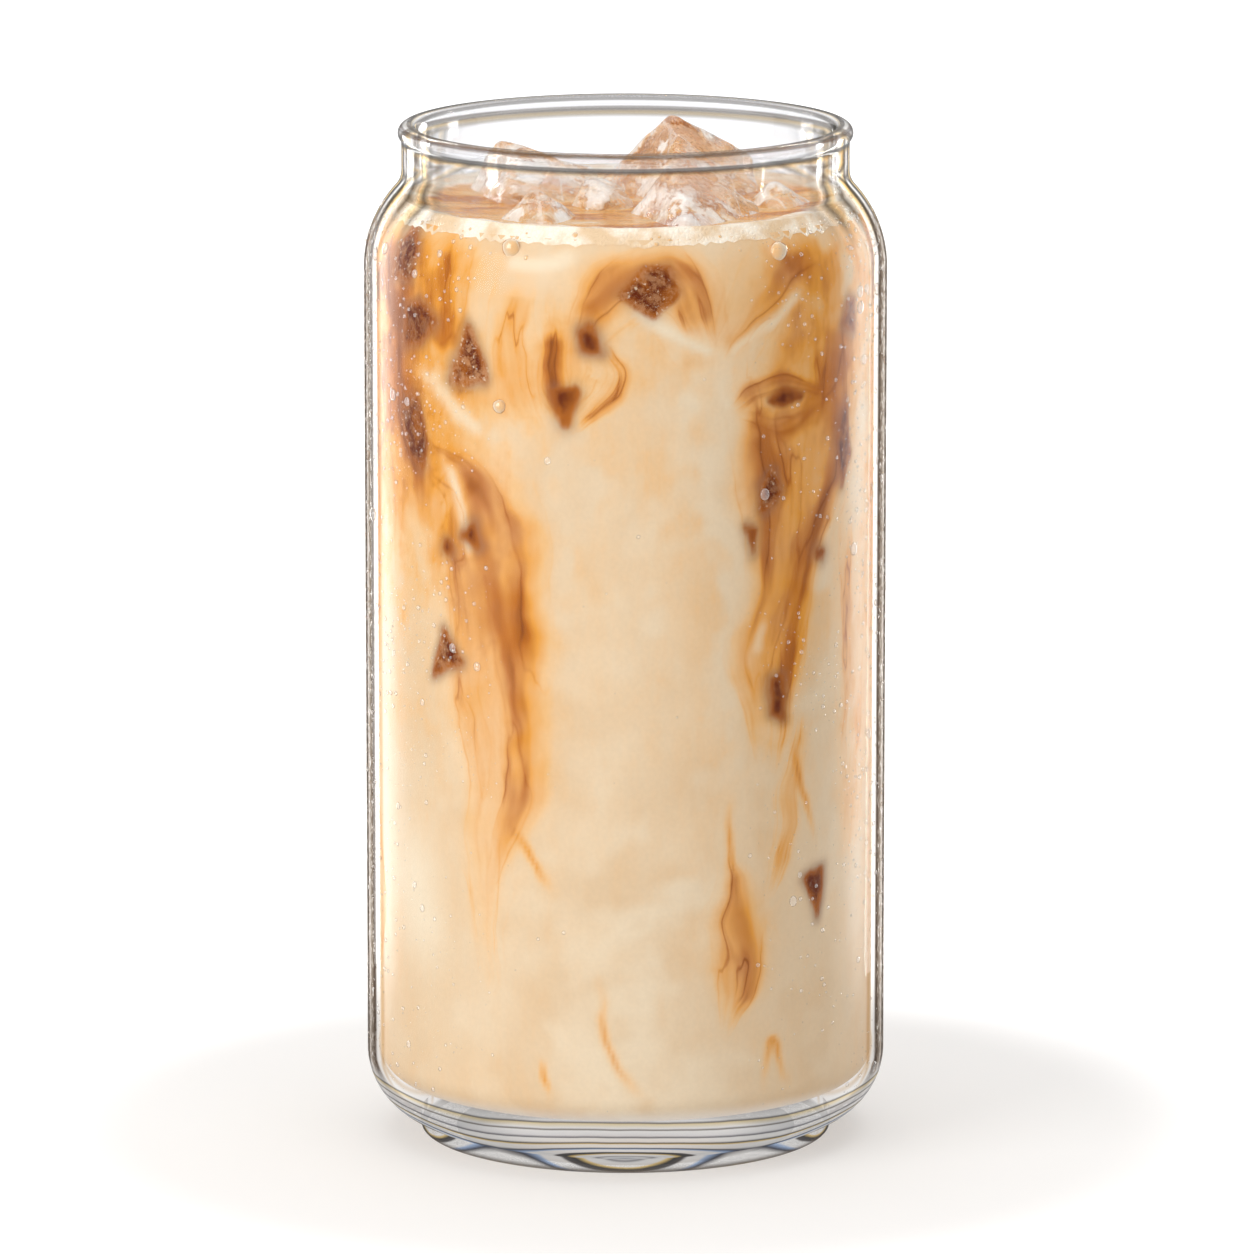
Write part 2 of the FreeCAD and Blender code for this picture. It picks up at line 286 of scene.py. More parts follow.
def facing_out(turn):
    """The way outwards at a turn from the front, which is -Y."""
    return Vector((math.sin(turn), -math.cos(turn), 0))


def turn_of(places):
    """Each place's turn from the front."""
    return np.arctan2(places[:, 0], -places[:, 1])


def faces_between(rings):
    """Faces that join rings of vertex numbers, where a ring of one closes the skin."""
    faces = []
    for low, high in zip(rings, rings[1:]):
        count = max(len(low), len(high))
        for k in range(count):
            n = (k + 1) % count
            if len(low) == 1:
                faces.append((low[0], high[n], high[k]))
            elif len(high) == 1:
                faces.append((low[k], low[n], high[0]))
            else:
                faces.append((low[k], low[n], high[n], high[k]))
    return faces


def lathe(name, outline, segments):
    """Smooth mesh turned about Z from an outline, closed where its ends lie on the axis."""
    verts = []
    rings = []
    for radius, height in outline:
        if radius < 1e-7:
            rings.append([len(verts)])
            verts.append((0, 0, height))
            continue
        rings.append(list(range(len(verts), len(verts) + segments)))
        for k in range(segments):
            turn = 2 * math.pi * k / segments
            verts.append((radius * math.cos(turn), radius * math.sin(turn), height))
    return smooth_mesh(name, verts, faces_between(rings))


def smooth_mesh(name, verts, faces, sharp=35):
    mesh = bpy.data.meshes.new(name)
    mesh.from_pydata(verts, [], faces)
    mesh.validate()
    mesh.shade_smooth()
    mesh.set_sharp_from_angle(angle=math.radians(sharp))
    return mesh


def outward(mesh):
    """Doubles merged, then all faces turned outwards."""
    work = bmesh.new()
    work.from_mesh(mesh)
    bmesh.ops.remove_doubles(work, verts=work.verts, dist=1e-7)
    bmesh.ops.recalc_face_normals(work, faces=work.faces)
    work.to_mesh(mesh)
    work.free()
    return mesh


def placed(name, data):
    """A new object in the scene."""
    item = bpy.data.objects.new(name, data)
    bpy.context.scene.collection.objects.link(item)
    return item


def new_piece(name, mesh, material, replaced=()):
    """An object of the part, riding with the glass."""
    piece = placed(name, mesh)
    mesh.materials.clear()
    mesh.materials.append(material)
    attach(piece, "root")
    if replaced:
        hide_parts(*replaced)
    return piece


def vertex_array(mesh):
    co = np.empty(len(mesh.vertices) * 3)
    mesh.vertices.foreach_get("co", co)
    return co.reshape(-1, 3)


def store(mesh, name, values):
    """A number or a vector for each vertex, which the piece's material reads."""
    values = np.asarray(values, dtype=np.float32)
    if values.ndim == 2:
        mesh.attributes.new(name, "FLOAT_VECTOR", "POINT").data.foreach_set("vector", values.ravel())
    else:
        mesh.attributes.new(name, "FLOAT", "POINT").data.foreach_set("value", values)


# ---------------------------------------------------------------- shader helpers


class Value:
    """A node's output. Sums on it lay the Math nodes for them."""

    def __init__(self, lay, socket):
        self.lay = lay
        self.socket = socket

    def maths(self, operation, other=0.5, clamp=False):
        return self.lay.maths(operation, self, other, clamp)

    def __add__(self, other):
        return self.maths("ADD", other)

    def __sub__(self, other):
        return self.maths("SUBTRACT", other)

    def __rsub__(self, other):
        return self.lay.maths("SUBTRACT", other, self)

    def __mul__(self, other):
        return self.maths("MULTIPLY", other)


def add(tree, kind, inputs=None, **settings):
    """A node with its settings and its inputs, each a number, a colour or another node's output."""
    node = tree.nodes.new(kind)
    for key, value in settings.items():
        setattr(node, key, value)
    for key, value in (inputs or {}).items():
        socket = node.inputs[key]
        if isinstance(value, Value):
            value = value.socket
        if isinstance(value, bpy.types.NodeSocket):
            tree.links.new(value, socket)
        elif socket.type == "RGBA" and len(value) == 3:
            socket.default_value = (*value, 1)
        else:
            socket.default_value = value
    return node


class Finish:
    """Lays the nodes of a new material, or of the tree that it is given."""

    def __init__(self, name=None, tree=None):
        if tree is None:
            self.material = bpy.data.materials.new(name)
            self.material.use_nodes = True
            tree = self.material.node_tree
        self.tree = tree
        tree.nodes.clear()

    def node(self, kind, inputs=None, output=0, **settings):
        return Value(self, add(self.tree, kind, inputs, **settings).outputs[output])

    def maths(self, operation, a, b=0.5, clamp=False):
        return self.node("ShaderNodeMath", {0: a, 1: b}, operation=operation, use_clamp=clamp)

    def rest(self, value, whole=1.0):
        """What a value leaves of the whole, never under 0 or over 1."""
        return self.maths("SUBTRACT", whole, value, True)

    def larger(self, a, b):
        return self.maths("MAXIMUM", a, b)

    def vector(self, operation, a, b=None, output=0):
        inputs = {0: a} if b is None else {0: a, 1: b}
        return self.node("ShaderNodeVectorMath", inputs, output, operation=operation)

    def mixed(self, share, a, b, blend="MIX"):
        """Colour mix of a and b."""
        inputs = {0: share, 6: a, 7: b}
        return self.node("ShaderNodeMix", inputs, 2, data_type="RGBA", blend_type=blend)

    def ramp(self, value, stops, smooth=True):
        """Colour ramp from (place, grey or colour) stops."""
        colours = self.node("ShaderNodeValToRGB", {0: value})
        bar = colours.socket.node.color_ramp
        bar.interpolation = "EASE" if smooth else "LINEAR"
        while len(bar.elements) < len(stops):
            bar.elements.new(0.5)
        for element, (place, tone) in zip(bar.elements, stops):
            element.position = place
            element.color = (tone, tone, tone, 1) if isinstance(tone, (int, float)) else (*tone, 1)
        return colours

    def between(self, value, low, high, to_low=0.0, to_high=1.0):
        """A smooth step: to_low where the value is low, to_high where it is high."""
        inputs = {0: value, 1: low, 2: high, 3: to_low, 4: to_high}
        return self.node("ShaderNodeMapRange", inputs, interpolation_type="SMOOTHSTEP")

    def place(self):
        return self.node("ShaderNodeTexCoord", output="Object")

    def axis(self, letter):
        return self.node("ShaderNodeSeparateXYZ", {0: self.place()}, letter)

    def stretched(self, scale):
        """Object coordinates stretched by scale along each axis."""
        return self.node("ShaderNodeMapping", {"Vector": self.place(), "Scale": scale})

    def stored(self, name, output="Fac"):
        """What the mesh stores under a name."""
        return self.node("ShaderNodeAttribute", None, output, attribute_name=name, attribute_type="GEOMETRY")

    def facing(self, **inputs):
        return self.node("ShaderNodeLayerWeight", {"Blend": 0.5, **inputs}, "Facing")

    def ray(self, kind):
        return self.node("ShaderNodeLightPath", output=f"Is {kind} Ray")

    def noise(self, grain, detail, roughness=0.55, scale=1.0):
        """Noise on Object coordinates stretched by a grain, or on another vector."""
        vector = self.stretched(grain) if isinstance(grain, tuple) else grain
        inputs = {"Vector": vector, "Scale": scale, "Detail": detail, "Roughness": roughness}
        return self.node("ShaderNodeTexNoise", inputs, "Fac")

    def cells(self, vector, scale=1.0):
        """Distance from the edges between cells."""
        inputs = {"Vector": vector, "Scale": scale}
        return self.node("ShaderNodeTexVoronoi", inputs, "Distance", feature="DISTANCE_TO_EDGE")

    def bump(self, height, strength, distance):
        return self.node("ShaderNodeBump", {"Height": height, "Strength": strength, "Distance": distance})

    def principled(self, **inputs):
        """A Principled shader, its inputs named in lower case with underscores."""
        named = {key.replace("_", " ").title().replace("Ior", "IOR"): value for key, value in inputs.items()}
        return self.node("ShaderNodeBsdfPrincipled", named)

    def clear(self, colour):
        return self.node("ShaderNodeBsdfTransparent", {"Color": colour})

    def mirror(self, roughness):
        return self.node("ShaderNodeBsdfGlossy", {"Roughness": roughness, "Color": WHITE})

    def glow(self, colour, strength=1.0):
        return self.node("ShaderNodeEmission", {"Color": colour, "Strength": strength})

    def blend(self, share, a, b):
        """Mix of two shaders."""
        return self.node("ShaderNodeMixShader", {0: share, 1: a, 2: b})

    def done(self, shader, passes_light=None):
        """The material. passes_light is the colour of light that lamps send through it, or None."""
        if passes_light is not None:
            soft = self.larger(self.ray("Shadow"), self.ray("Diffuse"))
            shader = self.blend(soft, shader, self.clear(passes_light))
        add(self.tree, "ShaderNodeOutputMaterial", {"Surface": shader})
        return self.material


# ---------------------------------------------------------------- materials

# Painted reflections of the glass, dark, gold and white lines in place of what it would mirror and bend:
# (place, grey or colour). The wall and the lip go by how far they face away, the rim by the angle round its
# roll, and the base by the distance from its ovals.
WALL_PAINTED_LINES = (
    (0.0, 1.0), (0.64, 1.0), (0.675, (0.80, 0.66, 0.50)), (0.705, (0.93, 0.91, 0.88)),
    (0.735, (0.88, 0.87, 0.86)), (0.765, (0.26, 0.21, 0.17)), (0.81, (0.46, 0.41, 0.36)),
    (0.86, (0.70, 0.66, 0.62)), (0.90, (0.22, 0.18, 0.15)), (0.95, (0.48, 0.44, 0.40)),
    (1.0, (0.16, 0.14, 0.13)),
)
# Painted reflection: dark, gold and white lines on the neck and lip.
LIP_PAINTED_LINES = (
    (0.0, (0.985, 0.985, 0.99)), (0.40, (0.985, 0.985, 0.99)), (0.46, (0.72, 0.72, 0.74)), (0.49, 1.0),
    (0.53, (0.30, 0.28, 0.26)), (0.57, (0.95, 0.80, 0.55)), (0.60, 1.0), (0.655, (0.20, 0.18, 0.16)),
    (0.70, 1.0), (0.74, (0.93, 0.74, 0.44)), (0.78, (0.12, 0.11, 0.10)), (0.82, 1.0),
    (0.87, (0.18, 0.17, 0.17)), (0.91, (0.95, 0.84, 0.64)), (0.95, (0.16, 0.14, 0.12)),
    (1.0, (0.30, 0.28, 0.26)),
)
RIM_PAINTED_LINES = (
    (0.0, (0.88, 0.88, 0.90)), (0.09, 1.0), (0.14, (0.30, 0.29, 0.28)), (0.19, (0.30, 0.29, 0.28)),
    (0.215, 1.0), (0.290, 1.0), (0.330, (0.92, 0.72, 0.42)), (0.360, (0.20, 0.18, 0.16)),
    (0.410, (0.20, 0.18, 0.16)), (0.435, 1.0), (0.560, (0.95, 0.95, 0.96)), (0.590, (0.30, 0.30, 0.31)),
    (0.640, (0.34, 0.34, 0.35)), (0.665, 1.0), (0.710, 1.0), (0.735, (0.20, 0.19, 0.19)),
    (0.790, (0.22, 0.21, 0.20)), (0.815, (0.95, 0.84, 0.64)), (0.850, 1.0), (0.890, (0.28, 0.27, 0.26)),
    (0.935, (0.30, 0.29, 0.28)), (0.960, 1.0), (1.0, (0.88, 0.88, 0.90)),
)
RIM_SHADE = ((0.0, 1.0), (0.78, 1.0), (0.88, 0.40), (1.0, 0.15))
BASE_PAINTED_RINGS = (
    (0.0, (0.50, 0.52, 0.56)), (0.060, (0.80, 0.82, 0.86)), (0.090, 1.0), (0.125, (0.40, 0.40, 0.42)),
    (0.150, 1.0), (0.200, 1.0), (0.215, (0.92, 0.70, 0.32)), (0.240, (0.10, 0.10, 0.10)),
    (0.275, (0.16, 0.15, 0.15)), (0.290, 1.0), (0.345, 1.0), (0.360, (0.46, 0.60, 0.86)),
    (0.385, (0.10, 0.10, 0.12)), (0.410, 1.0), (0.470, 1.0), (0.485, (0.94, 0.74, 0.38)),
    (0.505, (0.12, 0.11, 0.10)), (0.540, 1.0), (0.600, 1.0), (0.620, (0.20, 0.20, 0.22)),
    (0.660, (0.90, 0.90, 0.92)), (0.740, 1.0), (0.760, (0.24, 0.22, 0.20)), (0.790, 1.0),
    (0.860, (0.94, 0.80, 0.52)), (0.880, (0.20, 0.19, 0.18)), (0.910, 1.0), (1.0, 1.0),
)
GLASS_MIRROR = ((0.0, 0.003), (0.45, 0.007), (0.65, 0.010), (0.80, 0.016), (1.0, 0.05))
# Painted shade that greys the far wall above the drink.
FAR_WALL_PAINTED_SHADE = (0.865, 0.868, 0.885)
# Painted shadow: a dark line at the sole where the glass meets the floor.
SOLE_PAINTED_SHADE = (0.20, 0.17, 0.14)
# Strength of the painted glow of the base's ovals.
BASE_PAINTED_GLOW = 0.42
BENT_SHARE = 0.20

# Heights in metres between which one look of the glass gives way to the next.
# The sole's painted shadow line fades out between these heights.
SOLE_ENDS = (0.0003, 0.0011)
NECK_STARTS = (0.1400, 0.1480)
BENDING_STARTS = (0.1500, 0.1530)
RIM_STARTS = (0.1548, 0.1556)

# The base's painted ovals of light and shade: how many stand round it, the distance along the base where
# they centre, and their size. The distance along is in half millimetres of radius and whole millimetres of
# height.
OVALS = 5.0
OVALS_ALONG = 19.6
OVAL_HEIGHT = 5.0
OVAL_WIDTH = 0.42
PAINTED_RINGS_APART = 0.42

# The droplets' painted light: a dark ring of painted shade at their edges, and a milky white ring that is a
# painted highlight.
DROP_PAINTED_RING = (
    (0.0, 1.0), (0.35, 1.0), (0.50, (0.90, 0.85, 0.79)), (0.70, (0.46, 0.37, 0.29)), (1.0, (0.34, 0.27, 0.22))
)
DROP_MIRROR = ((0.0, 0.05), (0.5, 0.10), (0.8, 0.22), (1.0, 0.5))
DROP_PAINTED_HIGHLIGHT = ((0.0, 0.02), (0.30, 0.10), (0.45, 0.22), (0.60, 0.04), (1.0, 0.0))


def wall_painted_reflection(lay, facing):
    """Painted reflection: dark and gold lines that darken the wall towards its edges, and less so where it is
    wet.
    """
    wet = lay.between(lay.noise((1300, 1300, 700), 3.0), 0.56, 0.64)
    at_edge = lay.between(facing, 0.74, 0.80)
    return lay.mixed(wet * at_edge, lay.ramp(facing, WALL_PAINTED_LINES), (0.97, 0.965, 0.96))


def rim_painted_reflection(lay, sizes, facing, radius, height):
    """Painted reflection: bands of dark, gold and white that run round the rolled rim, with painted shade at
    its outline.
    """
    out = radius - (sizes.rim_radius - sizes.rim_width / 2)
    up = height - (GLASS_HIGH.z - sizes.rim_thickness / 2)
    angle = up.maths("ARCTAN2", out) * (0.5 / math.pi) + 0.5
    return lay.mixed(1.0, lay.ramp(angle, RIM_PAINTED_LINES, False), lay.ramp(facing, RIM_SHADE, False), "MULTIPLY")


def base_painted_light(lay, radius, height, hidden):
    """Painted light and shade: ovals of dark and light in the thick base, plain where it is hidden, and a
    painted shadow line at the sole.
    """
    sway = lay.noise((90, 90, 90), 2.0) - 0.5
    along = radius * 500 + height * 1000
    turn = lay.axis("X").maths("ARCTAN2", lay.axis("Y") * -1.0)
    wave = (turn * OVALS).maths("COSINE")
    rise = (along - OVALS_ALONG) * (1 / OVAL_HEIGHT)
    oval = ((1.0 - wave) * OVAL_WIDTH + rise * rise).maths("SQRT")
    rings = lay.ramp(oval * PAINTED_RINGS_APART + sway * 0.05, BASE_PAINTED_RINGS, False)
    rings = lay.mixed(hidden, rings, (0.97, 0.97, 0.98))
    return lay.mixed(lay.between(height, *SOLE_ENDS, 0.85, 0.0), rings, SOLE_PAINTED_SHADE)


def glass_material(sizes):
    """Clear glass with painted reflections: dark, gold and white lines at the wall's edges, round the rim and
    in the base, and painted shade on the far wall above the drink. Sight goes straight through the wall, and
    the rim also bends some of it. The base's outer skin glows a little with its painted ovals, so that they
    stay clear over the floor's shadow.
    """
    lay = Finish("clear_glass")
    height = lay.axis("Z")
    facing = lay.facing()
    radius = lay.vector("LENGTH", lay.stretched((1, 1, 0)), output="Value")
    behind = lay.node("ShaderNodeNewGeometry", output="Backfacing")
    outer = lay.stored("outer")
    # Painted reflections: lines on the wall, the lip and the rim, and painted rings of light and shade in the
    # base.
    painted_wall_lines = wall_painted_reflection(lay, facing)
    painted_lip_lines = lay.ramp(facing, LIP_PAINTED_LINES, False)
    rim = rim_painted_reflection(lay, sizes, facing, radius, height)
    rings = base_painted_light(lay, radius, height, lay.larger(lay.rest(outer), behind))
    at_neck = lay.between(height, *NECK_STARTS)
    at_base = lay.between(height, heel_top(sizes) - 3.5 * MM, heel_top(sizes) - 0.5 * MM, 1.0, 0.0)
    colour = lay.mixed(at_neck, painted_wall_lines, lay.mixed(lay.between(height, *RIM_STARTS), painted_lip_lines, rim))
    colour = lay.mixed(at_base, colour, lay.mixed(1.0, rings, painted_wall_lines, "MULTIPLY"))
    colour = lay.mixed(lay.stored("inside") * 0.8, colour, WHITE)
    # Painted shade: the far inner wall above the drink, seen from inside, is greyed.
    far_wall_shade = lay.rest(behind, lay.stored("mouth"))
    colour = lay.mixed(far_wall_shade, colour, lay.mixed(1.0, colour, FAR_WALL_PAINTED_SHADE, "MULTIPLY"))
    thin = lay.blend(lay.ramp(facing, GLASS_MIRROR), lay.clear(colour), lay.mirror(0.02))
    # Painted light: the base's outer skin glows with its rings.
    base_painted_glow = lay.rest(behind, outer) * at_base * BASE_PAINTED_GLOW
    thin = lay.blend(base_painted_glow, thin, lay.glow(rings))
    heavy = lay.node("ShaderNodeBsdfGlass", {"Color": (0.99, 0.992, 0.99), "Roughness": 0.0, "IOR": 1.5})
    body = lay.blend(lay.between(height, *BENDING_STARTS, 0.0, BENT_SHARE), thin, heavy)
    return lay.done(body, (0.97, 0.97, 0.97))


def band_of(lay, group, uneven):
    """What a group's bands leave of the milk: a veil that varies along the flow, and thin dark threads."""
    amount = lay.stored(f"amount_{group}")
    flow = lay.vector("MULTIPLY", lay.stored(f"flow_{group}", "Vector"), (1.0, 0.040, 1.0))
    flow = lay.vector("ADD", flow, lay.node("ShaderNodeCombineXYZ", {0: uneven * 0.22}))
    broad = lay.noise(flow, 2.0, 0.45, 0.85)
    narrow = lay.noise(flow, 2.5, 0.5, 0.80)
    away = (narrow - 0.5).maths("ABSOLUTE")
    thread = lay.between(away, 0.0, 0.016, 0.8, 0.0)
    soft_edge = lay.between(away, 0.0, 0.085, 0.75, 0.0)
    dark = (thread + soft_edge) * lay.between(broad, 0.42, 0.60, 0.18, 0.78)
    veil = amount * lay.between(broad, 0.34, 0.62, 0.50, 1.0)
    dark = amount.maths("POWER", 0.8) * dark
    return lay.rest(veil) * lay.rest(dark)


def window_painted_shade(lay, colours, edge):
    """Ice behind the wall, painted in shade: a thin lighter edge, a dark core of painted shade, and rime
    where the cube is frosted.
    """
    frost = lay.stored("frost")
    core = lay.between(edge, -1.5, -0.3, 1.0, 0.0)
    lighter = lay.between(lay.noise((260, 260, 200), 4.0, 0.65), 0.46, 0.66)
    rime = lay.between(lay.noise((700, 700, 700), 6.0, 0.75), 0.44, 0.60)
    white = lay.between(lay.noise((1100, 1100, 1100), 3.0, 0.7), 0.60, 0.68)
    ice = lay.mixed(core, colours.window_edge, colours.window)
    ice = lay.mixed(lighter * 0.5, ice, colours.brown)
    ice = lay.mixed(rime * (frost * 0.8), ice, colours.rime)
    return lay.mixed(white * (frost * 0.75), ice, colours.pale)


def drink_material(colours):
    """Milk with caramel swirls. The swirls and the ice behind the milk are stored in the mesh; the ice is
    painted as dark shade, and a wide patch at the lower left is a painted highlight.
    """
    lay = Finish("marbled_drink")
    fine = lay.noise((330, 330, 110), 5.0)
    uneven = fine - 0.5
    threads = lay.noise((900, 900, 170), 4.0) - 0.5
    swirl = lay.stored("swirl")
    patchy = uneven * 0.75 + threads * 0.60
    swirl = swirl.maths("ADD", patchy * (swirl * 0.8 + 0.12), True)
    left = (1.0 - swirl) * lay.rest(lay.stored("hair"))
    for group in range(Swirling.groups):
        left = left * band_of(lay, group, uneven)
    deep = lay.rest(left)
    stops = ((0.0, colours.cream), (0.26, colours.latte), (0.55, colours.amber))
    stops += ((0.80, colours.brown), (1.0, colours.dark))
    # The stored pale is milk's own paleness, and at the lower left a painted highlight.
    colour = lay.mixed(lay.stored("pale") * lay.rest(deep), lay.ramp(deep, stops, False), colours.pale)
    colour = lay.mixed(lay.stored("halo"), colour, colours.halo)
    # Painted shade where ice lies against the wall.
    edge = lay.stored("ice") + uneven * 2.2
    shown = lay.between(edge, -0.60, 0.55, 1.0, 0.0)
    colour = lay.mixed(shown, colour, window_painted_shade(lay, colours, edge))
    speck = lay.between(lay.noise((1500, 1500, 1500), 2.0), 0.2, 0.8, 0.98, 1.02)
    colour = lay.mixed(1.0, colour, speck, "MULTIPLY")
    bump = lay.bump(fine, 0.05, 0.001)
    return lay.done(
        lay.principled(base_color=colour, roughness=0.45, specular_ior_level=0.1, normal=bump)
    )


def froth_material(colours):
    """Pale froth that glows faintly at the wall, thinning to wet milky coffee between the cubes."""
    lay = Finish("froth")
    collar = lay.stored("collar")
    cells = lay.cells(lay.place(), 1500.0)
    streaks = lay.noise((75, 130, 75), 4.0)
    wet = lay.mixed(lay.between(streaks, 0.40, 0.50), colours.brown, colours.amber)
    wet = lay.mixed(lay.between(streaks, 0.46, 0.60), wet, colours.latte)
    wet = lay.mixed(lay.between(streaks, 0.60, 0.70), wet, colours.pale)
    pale = lay.mixed(lay.between(cells, 0.0, 0.07), colours.pale, colours.froth)
    pale = lay.mixed(lay.between(lay.noise((160, 160, 160), 3.0), 0.40, 0.62), colours.cream, pale)
    body = lay.principled(
        base_color=lay.mixed(lay.between(collar, 0.25, 0.7), wet, pale),
        roughness=lay.between(collar, 0.2, 0.8, 0.06, 0.28),
        specular_ior_level=0.18,
        emission_color=pale,
        emission_strength=collar * 0.10,
        normal=lay.bump(cells * 0.4 + streaks, 0.5, 0.0012),
    )
    return lay.done(body)


def ice_material(colours, name="wet_ice"):
    """Wet clear ice with frosted patches, fine cracks and a thin film of coffee. The film's browns are partly
    painted shade in place of the drink seen through the ice, and white painted highlights lie on the waves'
    crests and the grazing edges.
    """
    lay = Finish(name)
    cloud = lay.noise((120, 120, 120), 7.0, 0.66)
    film = lay.noise((70, 70, 150), 6.0, 0.62)
    waves_and_glints = lay.noise((130, 130, 130), 4.0, 0.6)
    cracks = lay.cells(lay.stretched((95, 95, 60)))
    bump = lay.bump(waves_and_glints + cracks * 0.5, 0.8, 0.003)
    # The film's browns: coffee, and partly painted shade in place of the drink seen through the ice.
    stops = (
        (0.0, colours.deep_film), (0.40, colours.deep_film), (0.44, colours.film), (0.45, colours.tint),
        (0.52, colours.frost), (0.555, colours.deep_film), (0.58, colours.film), (0.62, colours.tint),
        (1.0, colours.frost),
    )
    tone = lay.ramp(film, stops, False)
    paler = lay.mixed(0.82, tone, WHITE)
    clear = lay.principled(base_color=paler, roughness=0.04, ior=1.31, transmission_weight=1.0, normal=bump)
    frost = lay.principled(
        base_color=tone, roughness=0.10, coat_weight=0.35, coat_roughness=0.03, normal=bump
    )
    # Painted highlight: white for the glints and grazing edges, and for the white cracks.
    white = lay.principled(
        base_color=colours.frost, roughness=0.08, coat_weight=0.7, coat_roughness=0.03, normal=bump
    )
    body = lay.blend(lay.between(cloud, 0.42, 0.60, 0.20, 0.80), clear, frost)
    # Painted highlight at the grazing edges and on the waves' crests; the veins are real white cracks.
    edge = lay.facing(Blend=0.35, Normal=bump)
    veins = lay.between(cracks, 0.0, 0.030, 0.30, 0.0)
    share = lay.larger(veins, lay.between(edge, 0.60, 0.95, 0.0, 0.5))
    share = lay.larger(share, lay.between(waves_and_glints, 0.56, 0.61, 0.0, 0.75))
    return lay.done(lay.blend(share, body, white), (0.95, 0.93, 0.90))


def water_material():
    """Clear water of the droplets: bright in the middle, with a fine line of painted shade round it and a
    ring of milky white that is a painted highlight.
    """
    lay = Finish("condensation")
    facing = lay.facing()
    through = lay.clear(lay.ramp(facing, DROP_PAINTED_RING))
    body = lay.blend(lay.ramp(facing, DROP_MIRROR), through, lay.mirror(0.06))
    # Painted highlight: a ring of milky white.
    pale = lay.node("ShaderNodeBsdfDiffuse", {"Color": (1, 0.98, 0.95)})
    return lay.done(lay.blend(lay.ramp(facing, DROP_PAINTED_HIGHLIGHT), body, pale), (0.98, 0.98, 0.98))


def bubble_material(colours):
    """Air behind the wall: milky in the middle, a line of painted shade and a painted highlight round it."""
    lay = Finish("bubble_film")
    # Painted shade as a dark ring, then a painted white highlight at the grazing edge.
    stops = (
        (0.0, colours.latte), (0.34, colours.cream), (0.50, colours.pale), (0.64, colours.brown),
        (0.80, colours.dark), (0.88, colours.pale), (1.0, 1.0),
    )
    rim = lay.ramp(lay.facing(), stops)
    return lay.done(lay.principled(base_color=rim, roughness=0.05, coat_weight=0.8, coat_roughness=0.02))


# ---------------------------------------------------------------- swirls

# Bands of caramel: (strength, side that ends crisply, half widths from start to end, path). A path runs
# through points (way round the drink from the front, height), in millimetres. The threads inside a band
# aren't drawn: noise in the band's own flow makes them.
BANDS = (
    (0.75, 1, (7, 8, 6, 4), ((-44, 148), (-42, 132), (-40, 114), (-37, 98))),
    (0.74, 1, (3, 7, 6, 4, 1), ((-34, 113), (-24, 107), (-18, 90), (-15, 67), (-20, 46))),
    (0.40, -1, (2, 4, 3, 1), ((-31, 100), (-26, 76), (-24, 52), (-21, 30))),
    (0.60, -1, (3, 3, 1), ((-12, 132), (-11, 124), (-8, 117))),
    (0.50, 1, (1, 2, 1), ((-3, 130), (-1, 124), (-7, 117))),
    (0.60, 1, (2, 4, 5, 3), ((-8, 131), (-2, 141), (8, 142), (14, 128))),
    (0.55, -1, (2, 5, 6), ((15, 127), (22, 137), (34, 143))),
    (0.52, 1, (1, 2, 1), ((16, 120), (25, 124), (36, 121))),
    (0.45, -1, (1, 2, 1), ((18, 118), (26, 116), (35, 119))),
    (0.42, 1, (3, 4, 2), ((-30, 147), (-29, 135), (-32, 124))),
    (0.34, -1, (3, 4, 2), ((-17, 140), (-19, 128), (-14, 116))),
    (0.40, 1, (2, 4, 3), ((29, 136), (28, 128), (24, 122))),
    (0.66, -1, (5, 5, 4, 3, 1), ((20, 122), (22, 106), (23, 92), (20, 80), (21, 66))),
    (0.72, 1, (6, 6, 4, 3, 1), ((40, 134), (39, 116), (33, 98), (28, 82), (25, 64))),
    (0.56, 1, (1, 4, 4, 1), ((15, 51), (18, 42), (20, 33), (17, 23))),
    (0.35, 1, (1, 2, 1), ((30, 70), (28, 56), (24, 44))),
    (0.40, -1, (3, 4, 2), ((43, 100), (43, 72), (41, 46))),
    (0.45, 1, (4, 5, 3), ((-58, 138), (-55, 106), (-57, 70))),
    (0.45, -1, (4, 6, 2), ((59, 136), (57, 100), (60, 58))),
    (0.35, 1, (1, 2, 1), ((-54, 54), (-51, 40), (-54, 26))),
)

# Single hairs of caramel: (half width, path).
HAIRS = (
    (0.35, ((-4, 32), (-3, 20), (3, 13))),
    (0.30, ((23, 14), (24, 21), (27, 13))),
    (0.30, ((-15, 20), (-13, 13))),
    (0.35, ((-18, 56), (-13, 48), (-11, 45))),
    (0.30, ((16, 60), (15, 52), (16, 44))),
    (0.30, ((27, 68), (31, 58), (33, 50))),
)

